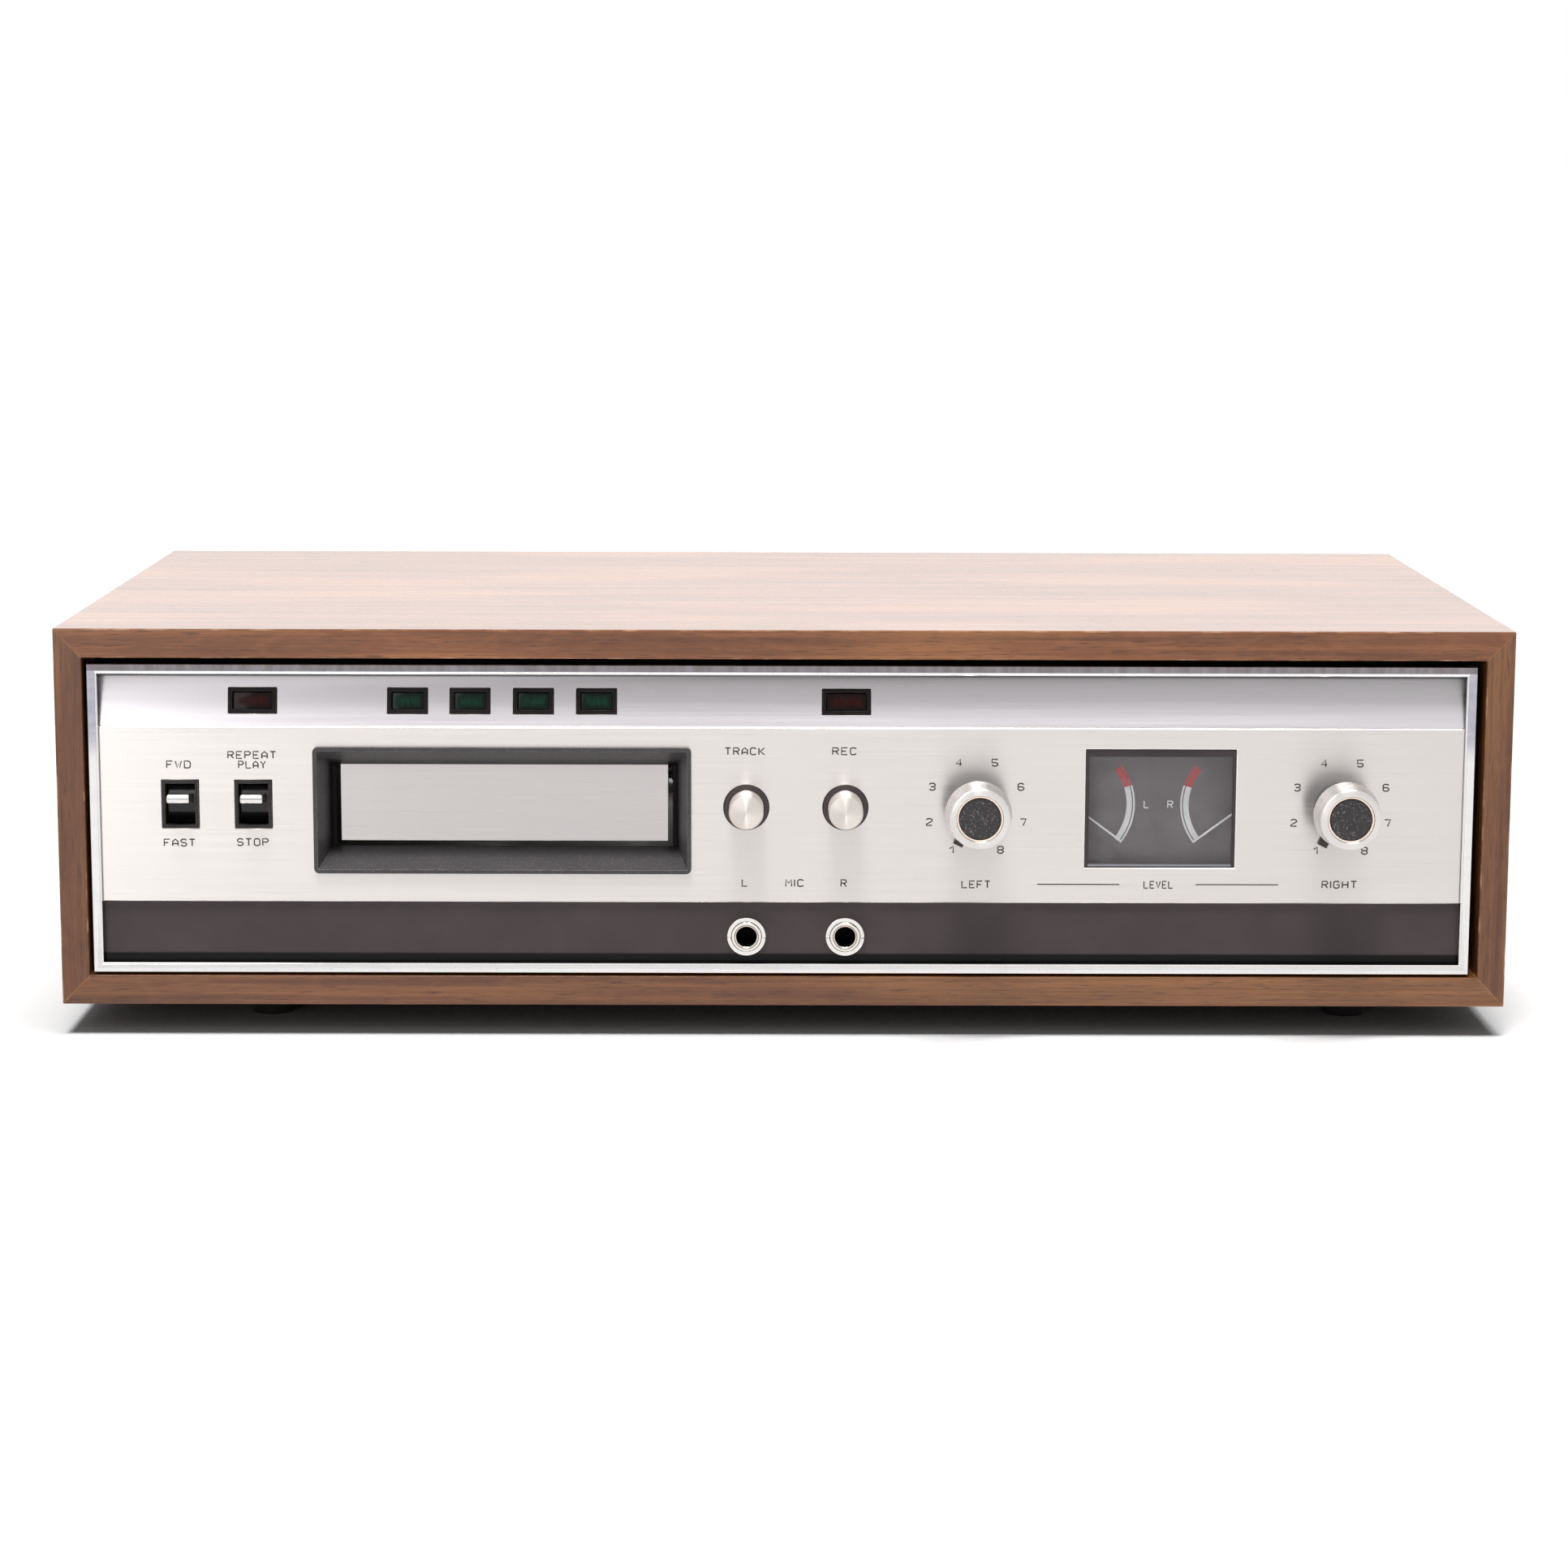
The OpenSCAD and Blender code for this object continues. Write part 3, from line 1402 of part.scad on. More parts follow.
// Circuit board with the parts that stand on it
module main_board() {
    z = board_z + board_t + fit;
    color("#9c7b45") place() translate([board_x, board_y, 0]) {
        difference() {
            translate([-board_w / 2, -board_d / 2, board_z]) cube([board_w, board_d, board_t]);
            for (x = [-1, 1], y = [-1, 1]) {
                translate([x * board_post[0], y * board_post[1], board_z - 1])
                    cylinder(h = board_t + 2, d = screw_d + 2 * fit);
            }
        }
        for (c = board_caps) {
            translate([c[0], c[1], z]) cylinder(h = c[3], r = c[2]);
        }
        for (x = transistor_x) {
            translate([x, transistor_y, z]) cylinder(h = 7, r = 3);
        }
        for (x = relay_x) {
            translate([x, relay_y, z]) cube(relay_size);
        }
    }
}

// Laminated core that stands on the floor, with two windows that the winding passes through
module transformer() {
    leg_w = 16;
    window_w = 11;
    window_h = 30;
    window_z = (trans_h - window_h) / 2;
    coil_w = leg_w + 2 * (window_w - clear);
    color("#6f6c66") place() translate([trans_x, trans_y, floor_z]) {
        difference() {
            translate([-trans_w / 2, -trans_d / 2, 0]) cube([trans_w, trans_d, trans_h]);
            for (side = [-1, 1]) {
                translate([side * (leg_w + window_w) / 2 - window_w / 2, -trans_d, window_z])
                    cube([window_w, 2 * trans_d, window_h]);
            }
        }
        difference() {
            translate([-coil_w / 2, -trans_d / 2 - coil_bulge, window_z + clear])
                cube([coil_w, trans_d + 2 * coil_bulge, window_h - 2 * clear]);
            translate([-leg_w / 2 - clear, -trans_d / 2 - clear, 0])
                cube([leg_w + 2 * clear, trans_d + 2 * clear, trans_h]);
        }
    }
}

cabinet_top();
cabinet_bottom();
cabinet_sides();
feet();
screws();
chassis();
rear_panel();
rca_jacks();
cord_grommet();
chrome_trim();
front_panel();
lamp_strip();
lower_band();
sub_panel();
slot_bezel();
door_leaf();
door_carrier();
door_pin();
lamp_bezels();
red_lenses();
green_lenses();
lamp_board();
switch_housings();
forward_lever();
forward_tip();
play_lever();
play_tip();
push_switches();
program_button();
record_button();
left_knob();
left_knob_cap();
left_pot_shaft();
right_knob();
right_knob_cap();
right_pot_shaft();
level_pots();
mic_jacks();
panel_nuts();
meter_housing();
meter_dial();
meter_window();
left_needle();
right_needle();
deck_plate();
standoffs();
guide_rails();
motor();
motor_pulley();
drive_belt();
flywheel();
capstan_bearings();
tape_head();
head_carriage();
program_cam();
solenoid();
solenoid_plunger();
lock_arm();
main_board();
transformer();
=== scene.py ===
"""Looks of an eight-track cartridge recorder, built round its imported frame, in metres.

The frame has +Z up, +X to the right as seen from the front, and the front towards -Y. Places are
written in millimetres from the cabinet: x from its middle, y back from its front edge and z up
from its underside. spot() turns such a place into the frame's metres.
"""

import json
import math

import bmesh
import bpy
from mathutils import Matrix, Vector

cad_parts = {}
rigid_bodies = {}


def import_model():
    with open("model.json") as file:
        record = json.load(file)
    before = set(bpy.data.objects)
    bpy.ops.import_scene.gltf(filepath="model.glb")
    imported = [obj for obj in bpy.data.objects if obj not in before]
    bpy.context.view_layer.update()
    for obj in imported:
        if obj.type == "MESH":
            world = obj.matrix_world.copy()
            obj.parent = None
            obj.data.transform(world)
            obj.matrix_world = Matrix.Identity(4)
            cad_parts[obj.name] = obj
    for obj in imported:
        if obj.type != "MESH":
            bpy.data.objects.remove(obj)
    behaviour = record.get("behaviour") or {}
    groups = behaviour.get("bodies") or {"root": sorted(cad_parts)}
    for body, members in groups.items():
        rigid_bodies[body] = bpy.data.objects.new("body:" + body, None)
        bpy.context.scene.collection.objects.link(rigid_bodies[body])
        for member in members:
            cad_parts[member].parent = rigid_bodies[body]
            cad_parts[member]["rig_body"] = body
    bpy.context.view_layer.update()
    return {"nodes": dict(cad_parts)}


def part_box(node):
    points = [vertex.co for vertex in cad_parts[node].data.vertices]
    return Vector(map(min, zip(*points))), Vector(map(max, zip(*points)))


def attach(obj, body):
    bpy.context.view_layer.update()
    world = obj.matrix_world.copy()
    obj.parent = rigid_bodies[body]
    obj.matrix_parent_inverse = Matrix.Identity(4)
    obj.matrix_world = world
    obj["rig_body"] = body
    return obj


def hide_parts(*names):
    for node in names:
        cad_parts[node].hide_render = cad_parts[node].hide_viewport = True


bl_info = {
    "name": "Eight-track cartridge recorder",
    "version": (1, 0, 0),
    "blender": (4, 5, 0),
    "location": "View3D > Sidebar > Recorder",
    "description": "Builds the finish of an eight-track cartridge recorder round its packed frame",
    "category": "Object",
}

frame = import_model()
MM = 0.001
CABINET_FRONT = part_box("cabinet_top")[0].y
CABINET_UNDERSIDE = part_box("cabinet_bottom")[0].z

# Camera, fitted to the cabinet's corners in the photograph: its place in metres, and its pitch,
# yaw and roll in radians
CAMERA_PLACE = (-0.005909, -1.23294, 0.26369)
CAMERA_TURN = (0.16270, 0.0051, 0.0032)
AIM_OF_LAMPS = (0, 0, 0.06)

# Corners of a CAD mesh, and points of a turned profile, this near in metres are one; faces within
# this angle in degrees are one plane
SAME_CORNER, SAME_POINT, SAME_PLANE = 2e-6, 1e-7, 0.5
# How much of a face's normal lies along the axis it looks along, and along each of the two axes
# that it leans between
FACING, LEANING = 0.9, 0.5
# Edges sharper than these angles in degrees are rounded, or stay crisp in the shading
ROUNDED_ANGLE, CRISP_ANGLE = 35.0, 32.0
MITRE_HAIRLINE, MITRE_WEAR = 0.2, 1.7
# How far each ring of a lamp lens rises from the ring outside it, and how wide it is
LENS_CROWN, LENS_RING = (0.12, 0.08, 0.04, 0.02), 0.8
# A push button's head ends at this depth, and its stem has this radius
BUTTON_HEAD_BACK, BUTTON_STEM = 9.0, 2.0
# The trim's inner bead starts this far in from its outline
BEAD_INSET = 2.3
# A jack's throat: radius, and depth behind the mouth
THROAT_RADIUS, THROAT_DEPTH = 3.1, 13
# Level meter: needle pivots from its middle, printed bands, and where they start, turn red and end
PIVOT_OUT = 26.5
SCALE_BANDS = ((16.9, 18.6), (18.95, 19.5))
SCALE_START, SCALE_RED, SCALE_END = -38.5, 18.0, 38.9
# Prints lie this far in front of the surface that they are on
DIAL_PRINT, PANEL_PRINT = 0.05, 0.02
# How flat a printed stroke is, against its width
INK_FLATNESS = 0.12
# Numbers on a dial's ring: how many, where the first one is and the sweep to the last, in degrees
DIAL_NUMBERS, FIRST_NUMBER, NUMBER_SWEEP = 8, 240, 300
# Legends of the main panel: words, x, z and width
LEGENDS = (
    ("FWD", -185.5, 74.4, 7.2), ("REPEAT", -163.0, 77.4, 14.6), ("PLAY", -163.0, 74.4, 8.2),
    ("FAST", -185.7, 50.1, 9.4), ("STOP", -163.2, 50.3, 9.4), ("TRACK", -12.2, 78.9, 12.0),
    ("REC", 18.3, 79.0, 7.2), ("L", -12.2, 37.9, 1.5), ("MIC", 3.2, 37.9, 5.4),
    ("R", 18.3, 37.9, 1.6), ("LEFT", 59.0, 37.6, 8.6), ("LEVEL", 115.2, 37.6, 8.8),
    ("RIGHT", 171.0, 37.75, 10.6),
)
# Rules either side of the word between the knobs: their ends along x, and their height
RULES, RULE_FOOT, RULE_HEAD = ((77.9, 103.2), (126.7, 152.2)), 37.5, 37.85
# Legends of the rear panel: words, x and z
REAR_LEGENDS = (
    ("L", 60, 54), ("R", 80, 54), ("IN", 70, 29), ("L", 110, 54), ("R", 130, 54), ("OUT", 120, 29),
)
# Gap between letters, on the grid of LETTERS
LETTER_GAP = 2.2
# Strokes of the printed letters, as points on a grid four wide and six high
LETTERS = {
    "A": "00 04 26 44 40,02 42",
    "C": "41 30 10 01 05 16 36 45",
    "D": "00 06 36 45 41 30 00",
    "E": "40 00 06 46,03 33",
    "F": "00 06 46,03 33",
    "G": "45 36 16 05 01 10 30 41 43 23",
    "H": "00 06,40 46,03 43",
    "I": "00 06",
    "K": "00 06,46 13 40",
    "L": "06 00 40",
    "M": "00 06 23 46 40",
    "N": "00 06 40 46",
    "O": "10 30 41 45 36 16 05 01 10",
    "P": "00 06 36 45 44 33 03",
    "R": "00 06 36 45 44 33 03,23 40",
    "S": "01 10 30 41 42 33 13 04 05 16 36 45",
    "T": "06 46,26 20",
    "U": "06 01 10 30 41 46",
    "V": "06 20 46",
    "W": "06 10 24 30 46",
    "Y": "06 23 46,23 20",
    "1": "04 26 20",
    "2": "05 16 36 45 44 01 00 40",
    "3": "05 16 36 45 44 33 42 41 30 10 01,13 33",
    "4": "30 36 02 42",
    "5": "46 06 03 33 42 41 30 10 01",
    "6": "45 36 16 05 01 10 30 41 42 33 03",
    "7": "06 46 20",
    "8": "13 33 44 45 36 16 05 04 13 02 01 10 30 41 42 33",
}


# Places


def spot(x, y, z):
    """A place in millimetres from the cabinet, as a point of the frame in metres."""
    return Vector((x * MM, CABINET_FRONT + y * MM, CABINET_UNDERSIDE + z * MM))


def height(point):
    """The height of a point of the frame, in millimetres from the cabinet."""
    return (point.z - CABINET_UNDERSIDE) / MM


def middle(node):
    """The x and z of a node's middle, in millimetres from the cabinet."""
    low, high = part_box(node)
    centre = (low + high) / 2
    return centre.x / MM, height(centre)


def between(low, high):
    """The x and z halfway between two corners, in millimetres from the cabinet."""
    return (low.x + high.x) / 2 / MM, ((low.z + high.z) / 2 - CABINET_UNDERSIDE) / MM


def front_of(node):
    """The depth of a node's foremost point behind the cabinet's front edge, in millimetres."""
    return (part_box(node)[0].y - CABINET_FRONT) / MM


def back_of(node):
    """The depth of a node's rearmost point behind the cabinet's front edge, in millimetres."""
    return (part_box(node)[1].y - CABINET_FRONT) / MM


def front_face(node):
    """The middle, width and height of a node's foremost face, in millimetres from the cabinet."""
    points = [vert.co for vert in frame["nodes"][node].data.vertices]
    first = min(point.y for point in points)
    face = [point for point in points if point.y < first + 0.01 * MM]
    left, right = (f(point.x for point in face) / MM for f in (min, max))
    foot, head = (f(height(point) for point in face) for f in (min, max))
    return (left + right) / 2, (foot + head) / 2, right - left, head - foot


# Materials


def linear(hex_colour):
    """An sRGB hex colour as the linear colour that Blender's nodes work in."""
    parts = [int(hex_colour[i : i + 2], 16) / 255 for i in (1, 3, 5)]
    return [p / 12.92 if p <= 0.04045 else ((p + 0.055) / 1.055) ** 2.4 for p in parts] + [1.0]


def scaled(colour, factor, lift=0.0):
    """A linear colour made paler or darker by a factor, and lifted by a little grey."""
    return [min(1.0, c * factor + lift) for c in colour[:3]] + [1]


def add(tree, kind, settings=None, inputs=None, output=None):
    """Adds a node with its settings and links, and gives one output, or else the first in use.

    An input is a value, a hex colour or the output that feeds it. The setting stops holds a
    colour ramp's stops of (place, hex colour or grey).
    """
    node = tree.nodes.new(kind)
    for key, value in (settings or {}).items():
        if key != "stops":
            setattr(node, key, value)
            continue
        elements = node.color_ramp.elements
        while len(elements) < len(value):
            elements.new(0.5)
        for element, (place, tone) in zip(elements, value):
            element.position = place
            element.color = linear(tone) if isinstance(tone, str) else (tone, tone, tone, 1)
    for key, value in (inputs or {}).items():
        named = (s for s in node.inputs if s.enabled and s.name == key)
        socket = node.inputs[key] if isinstance(key, int) else next(named)
        if isinstance(value, bpy.types.NodeSocket):
            tree.links.new(value, socket)
        else:
            socket.default_value = linear(value) if isinstance(value, str) else value
    return node.outputs[output] if output else next((s for s in node.outputs if s.enabled), None)


def blank(name):
    """A new material and its empty node tree."""
    material = bpy.data.materials.new(name)
    material.use_nodes = True
    material.node_tree.nodes.clear()
    return material, material.node_tree


def surface(material, values, colour, gloss=(), relief=(), axis=None):
    """Closes a material with one Principled shader, and gives the material.

    Values are constants on the shader's own sockets. Gloss is a pattern and the stops of
    (place, roughness) that grade it. Relief is a height between 0 and 1 and its depth in
    millimetres. With an axis the highlights run round it, as on a brushed or turned metal.
    """
    tree = material.node_tree
    inputs = {"Base Color": colour, **values}
    if gloss:
        pattern, *stops = gloss
        inputs["Roughness"] = add(tree, "ShaderNodeValToRGB", {"stops": stops}, {"Fac": pattern})
    if relief:
        rise, depth = relief
        bump = {"Height": rise, "Distance": depth * MM, "Strength": 1.0}
        inputs["Normal"] = add(tree, "ShaderNodeBump", inputs=bump)
    if axis:
        around = {"direction_type": "RADIAL", "axis": axis}
        inputs["Tangent"] = add(tree, "ShaderNodeTangent", around)
    shader = add(tree, "ShaderNodeBsdfPrincipled", inputs=inputs)
    add(tree, "ShaderNodeOutputMaterial", inputs={"Surface": shader})
    return material


def grain(tree, lengths, turn=(0, 0, 0), detail=4.0, distortion=0.0):
    """Noise on Object coordinates whose spots measure lengths in millimetres along X, Y and Z.

    One length is taken for all three.
    """
    if not isinstance(lengths, tuple):
        lengths = (lengths, lengths, lengths)
    place = add(tree, "ShaderNodeTexCoord", output="Object")
    turned = add(tree, "ShaderNodeMapping", inputs={"Vector": place, "Rotation": turn})
    factors = {0: turned, 1: [1 / (length * MM) for length in lengths]}
    stretched = add(tree, "ShaderNodeVectorMath", {"operation": "MULTIPLY"}, factors)
    values = {"Scale": 1.0, "Detail": detail, "Roughness": 0.55, "Distortion": distortion}
    return add(tree, "ShaderNodeTexNoise", inputs={"Vector": stretched, **values})


def layered(tree, colour, *layers):
    """Lays colours over a first one.

    A layer is the amount of it, the stops of (place, amount) that grade this, if any, and its
    colour.
    """
    for amount, *stops, above in layers:
        if stops:
            amount = add(tree, "ShaderNodeValToRGB", {"stops": stops}, {"Fac": amount})
        mixed = {"Factor": amount, "A": colour, "B": above}
        colour = add(tree, "ShaderNodeMix", {"data_type": "RGBA"}, mixed)
    return colour


def worn_edges(tree, spread=3, start=0.42):
    """How worn a spot is: the bevelled edges that a piece marks, broken up by noise.

    A mark of 1 wears in patches; what it has above 1 shows everywhere.
    """
    marked = add(tree, "ShaderNodeAttribute", {"attribute_name": "wear"}, output="Fac")
    stops = (start, 0.0), (start + 0.2, 1.0)
    patches = add(tree, "ShaderNodeValToRGB", {"stops": stops}, {"Fac": grain(tree, spread)})
    both = add(tree, "ShaderNodeMath", {"operation": "MULTIPLY"}, {0: marked, 1: patches})
    clamped = {"operation": "SUBTRACT", "use_clamp": True}
    even = add(tree, "ShaderNodeMath", clamped, {0: marked, 1: 1.0})
    return add(tree, "ShaderNodeMath", {"operation": "MAXIMUM"}, {0: both, 1: even})


def rising(tree, axis, start, end):
    """0 before one place along Y or Z and 1 after another, in millimetres from the cabinet."""
    place = add(tree, "ShaderNodeTexCoord", output="Object")
    along = add(tree, "ShaderNodeSeparateXYZ", inputs={"Vector": place}, output=axis)
    origin = {"Y": CABINET_FRONT, "Z": CABINET_UNDERSIDE}[axis]
    ends = {"From Min": origin + start * MM, "From Max": origin + end * MM}
    return add(tree, "ShaderNodeMapRange", inputs={"Value": along, **ends})


def walnut_veneer(name, wood, painted_shade, turn):
    """American walnut veneer, sliced, sanded and lacquered satin.

    Long streaks, a faint curl across them and dark pores, under a clear coat that mirrors the
    room at a low angle, with pale bare wood where the coat is rubbed off the edges. Each board
    is darkened by its own amount of painted shade: the sides and bottom get less light than the
    top.
    """
    material, tree = blank(name)
    # Streaks 3 mm wide and 130 mm long; veins 0.8 mm wide; pores 0.4 mm wide and 8 mm long
    streaks = grain(tree, (130, 3.0, 3.0), turn, 3.0, 0.5)
    curl = grain(tree, (16, 9, 9), turn, 3.0, 1.2)
    heart = grain(tree, (150, 40, 40), turn, 1.0)
    lines = grain(tree, (60, 0.8, 0.8), turn, 4.0, 0.3)
    pores = grain(tree, (8, 0.4, 0.4), turn, 2.0)
    tones = (0.28, wood.dark_streak), (0.5, wood.veneer), (0.74, wood.light_streak)
    thin = (0.36, 0.45), (0.58, 0.0)
    veins = add(tree, "ShaderNodeValToRGB", {"stops": thin}, {"Fac": lines})
    colour = layered(
        tree,
        add(tree, "ShaderNodeValToRGB", {"stops": tones}, {"Fac": streaks}),
        (curl, (0.42, 0.0), (0.75, 0.4), wood.light_streak),
        (heart, (0.5, 0.0), (0.62, 0.55), wood.heartwood),
        (veins, wood.dark_streak),
        (pores, (0.58, 0.0), (0.68, 0.6), wood.pore),
        # Painted shade: each board's own darkening
        (painted_shade, "#0d0806"),
        (worn_edges(tree, 9, 0.5), wood.bare_wood),
    )
    values = {"Coat Weight": 1.0, "Coat Roughness": 0.24, "Specular IOR Level": 0.05}
    return surface(material, values, colour, (streaks, (0.3, 0.5), (0.7, 0.4)), (veins, -0.02))


def brushed_aluminium(name, tone, length=70.0, width=0.5, contrast=0.03, painted_shade_heights=None):
    """Aluminium sheet, brushed along X and clear anodised.

    The brushing is finer than a render shows, so it is drawn half a millimetre wide. It spreads
    every reflection upright, across the lines. Between two heights, if given, it turns darker
    towards the top: painted shade under the cabinet's top board.
    """
    material, tree = blank(name)
    lines = grain(tree, (length, width, width))
    clouds = grain(tree, (70, 30, 22), detail=2.0)
    base = linear(tone)
    dull, bright = scaled(base, 1 - contrast), scaled(base, 1 + contrast)
    layers = [(lines, (0.3, 0.0), (0.7, 1.0), bright), (clouds, (0.4, 0.0), (0.75, 0.6), dull)]
    # Painted shade: darker towards the top, where the cabinet's top board shades the strip
    if painted_shade_heights:
        layers.append((rising(tree, "Z", *painted_shade_heights), scaled(base, 0.62)))
    layers.append((worn_edges(tree, (20, 2, 2), 0.3), "#f3efe9"))
    colour = layered(tree, dull, *layers)
    values = {"Metallic": 1.0, "Anisotropic": 0.85, "Anisotropic Rotation": 0.25}
    gloss = lines, (0.25, 0.26), (0.75, 0.34)
    return surface(material, values, colour, gloss, (lines, 0.004), axis="Z")


def turned_aluminium(name, tone, smooth, rough):
    """Aluminium turned on a lathe and clear anodised.

    Fine tool marks run round the axis, so highlights fan out from the middle.
    """
    material, tree = blank(name)
    smears = grain(tree, 5, detail=3.0)
    base = linear(tone)
    mottled = smears, (0.35, 0.0), (0.7, 1.0), base
    worn = worn_edges(tree, 2, 0.4), "#fbf8f4"
    colour = layered(tree, scaled(base, 0.93), mottled, worn)
    values = {"Metallic": 1.0, "Anisotropic": 0.92, "Anisotropic Rotation": 0.25}
    return surface(material, values, colour, (smears, (0.3, smooth), (0.75, rough)), axis="Y")


def plated(name, tone, roughness, specks, spot_size=0.8, painted_reflection_above=None, painted_reflection_band=None):
    """Bright plating on steel or brass: a mirror with hairline scratches and small dark pits.

    Above a height it is given, it turns grey: a painted reflection of the dark ground in front.
    Between the two heights of a band it takes grey-blue patches: a painted reflection of the room.
    """
    material, tree = blank(name)
    base = linear(tone)
    spots = grain(tree, spot_size, detail=2.0)
    stops = (0.62, 0.0), (0.7, specks)
    pits = add(tree, "ShaderNodeValToRGB", {"stops": stops}, {"Fac": spots})
    haze = grain(tree, (14, 5, 5), detail=3.0)
    layers = [(haze, (0.45, 0.0), (0.8, 0.5), scaled(base, 0.86)), (pits, "#6f675f")]
    greys = []
    # Painted reflections, of the room and of the dark ground in front, laid on as grey patches
    if painted_reflection_band:
        greys.append(((6, 6, 3), 3.0, ((0.35, 0.75), (0.6, 1.0)), painted_reflection_band, "#a7a6b2"))
    if painted_reflection_above:
        # Upright rub marks 2.5 mm wide break up the grey of the painted reflection
        ends = painted_reflection_above, painted_reflection_above + 0.15
        greys.append(((2.5, 9, 9), 5.0, ((0.4, 1.0), (0.7, 0.7)), ends, "#7b7577"))
    for lengths, detail, stops, heights, grey in greys:
        patches = grain(tree, lengths, detail=detail)
        patches = add(tree, "ShaderNodeValToRGB", {"stops": stops}, {"Fac": patches})
        factors = {0: patches, 1: rising(tree, "Z", *heights)}
        layers.append((add(tree, "ShaderNodeMath", {"operation": "MULTIPLY"}, factors), grey))
    scratches = grain(tree, (22, 0.3, 0.3), detail=2.0)
    gloss = scratches, (0.5, roughness), (0.75, roughness + 0.16)
    return surface(material, {"Metallic": 1.0}, layered(tree, base, *layers), gloss, (pits, -0.02))


def moulded_plastic(
    name,
    tone,
    roughness=0.45,
    rub="#6b6867",
    texture=0.25,
    depth=0.02,
    level=0.5,
    painted_shade_below=None,
    painted_shade_inside=None,
    specks=0.0,
):
    """Moulded or sprayed ABS: a fine texture, rubbed paler and smoother along its edges.

    Below a given height, and between two given depths, it turns darker: painted shade at the
    foot and deep inside. Specks are dust caught in the texture.
    """
    material, tree = blank(name)
    bits = grain(tree, texture, detail=2.0)
    base = linear(tone)
    layers = [(grain(tree, 18, detail=2.0), (0.4, 0.0), (0.8, 0.5), scaled(base, 1.35, 0.004))]
    if specks:
        layers.append((grain(tree, 0.55, detail=3.0), (0.58, 0.0), (0.68, specks), "#98918f"))
    layers.append((worn_edges(tree, 4, 0.36), rub))
    colour = layered(tree, base, *layers)
    # Painted shade, darker at the foot and deep inside
    if painted_shade_below:
        colour = layered(tree, "#0b090a", (rising(tree, "Z", painted_shade_below - 0.7, painted_shade_below), colour))
    if painted_shade_inside:
        colour = layered(tree, colour, (rising(tree, "Y", *painted_shade_inside), "#070607"))
    gloss = bits, (0.3, roughness - 0.08), (0.7, roughness + 0.1)
    return surface(material, {"Specular IOR Level": level}, colour, gloss, (bits, depth))


def tinted_lens(name, tone, glow):
    """Polished tinted acrylic over a dark well, whose middle is painted lighter in upright ribs: a
    painted glow of light through the lens.
    """
    material, tree = blank(name)
    marked = add(tree, "ShaderNodeAttribute", {"attribute_name": "glow"}, output="Fac")
    stops = (0.3, 0.35), (0.7, 1.0)
    ribs = grain(tree, (0.9, 4, 4), detail=2.0)
    ribs = add(tree, "ShaderNodeValToRGB", {"stops": stops}, {"Fac": ribs})
    lit = add(tree, "ShaderNodeMath", {"operation": "MULTIPLY"}, {0: marked, 1: ribs})
    values = {"Roughness": 0.12, "Specular IOR Level": 0.12}
    return surface(material, values, layered(tree, tone, (lit, glow)))


def clear_acrylic(name):
    """Clear polished acrylic pane with a thin veil of dust and rubbing.

    It is thin, so it is drawn as a nearly clear skin that lets the light on to the dial.
    """
    material, tree = blank(name)
    dust = grain(tree, 7, detail=5.0)
    stops = (0.35, 0.03), (0.8, 0.08)
    veil = add(tree, "ShaderNodeValToRGB", {"stops": stops}, {"Fac": dust})
    return surface(material, {"Roughness": 0.06, "IOR": 1.49, "Alpha": veil}, "#cfcbd0")


def printed_ink(name, tone):
    """Screen-printed enamel ink, slightly uneven in its cover."""
    material, tree = blank(name)
    cover = grain(tree, 0.8, detail=3.0)
    thin = scaled(linear(tone), 1, 0.036)
    colour = layered(tree, tone, (cover, (0.45, 0.0), (0.8, 1.0), thin))
    return surface(material, {"Roughness": 0.5}, colour)


def plated_sheet(name, tone, roughness=0.38, spangle=6.0):
    """Zinc-plated steel sheet or bar: faint cloudy crystals and rolling lines."""
    material, tree = blank(name)
    clouds = grain(tree, spangle, detail=2.0, distortion=1.0)
    lines = grain(tree, (30, 0.6, 0.6), detail=3.0)
    dull = scaled(linear(tone), 0.72)
    colour = layered(tree, dull, (clouds, (0.35, 0.0), (0.7, 1.0), tone))
    gloss = clouds, (0.3, roughness - 0.08), (0.7, roughness + 0.12)
    return surface(material, {"Metallic": 1.0}, colour, gloss, (lines, 0.01))


def stove_enamel(name, tone, roughness=0.55, level=0.5):
    """Stove enamel on steel: fine orange peel and a few rubbed spots."""
    material, tree = blank(name)
    peel = grain(tree, 0.9, detail=2.0)
    pale = scaled(linear(tone), 1.6, 0.01)
    colour = layered(tree, tone, (grain(tree, 12), (0.55, 0.0), (0.85, 0.5), pale))
    gloss = peel, (0.3, roughness - 0.1), (0.7, roughness + 0.08)
    return surface(material, {"Specular IOR Level": level}, colour, gloss, (peel, 0.03))


def rubber(name, tone):
    """Moulded rubber: matt and slightly dusty."""
    material, tree = blank(name)
    dust = grain(tree, 5, detail=5.0)
    bits = grain(tree, 0.5, detail=2.0)
    dusty = scaled(linear(tone), 1.8, 0.01)
    colour = layered(tree, tone, (dust, (0.45, 0.0), (0.8, 0.7), dusty))
    gloss = dust, (0.3, 0.7), (0.8, 0.9)
    return surface(material, {"Specular IOR Level": 0.3}, colour, gloss, (bits, 0.03))


def circuit_board(name, tone, parts):
    """Brown phenolic paper board with wound and moulded parts: mottled, with a dull gloss."""
    material, tree = blank(name)
    fibres = grain(tree, (3, 0.5, 0.5))
    stops = (0.35, tone), (0.7, parts)
    colour = add(tree, "ShaderNodeValToRGB", {"stops": stops}, {"Fac": fibres})
    dark = grain(tree, 9, detail=1.0), (0.5, 0.0), (0.6, 0.35), "#3c2a18"
    colour = layered(tree, colour, dark)
    return surface(material, {"Roughness": 0.4}, colour, relief=(fibres, 0.02))


# Mesh tools


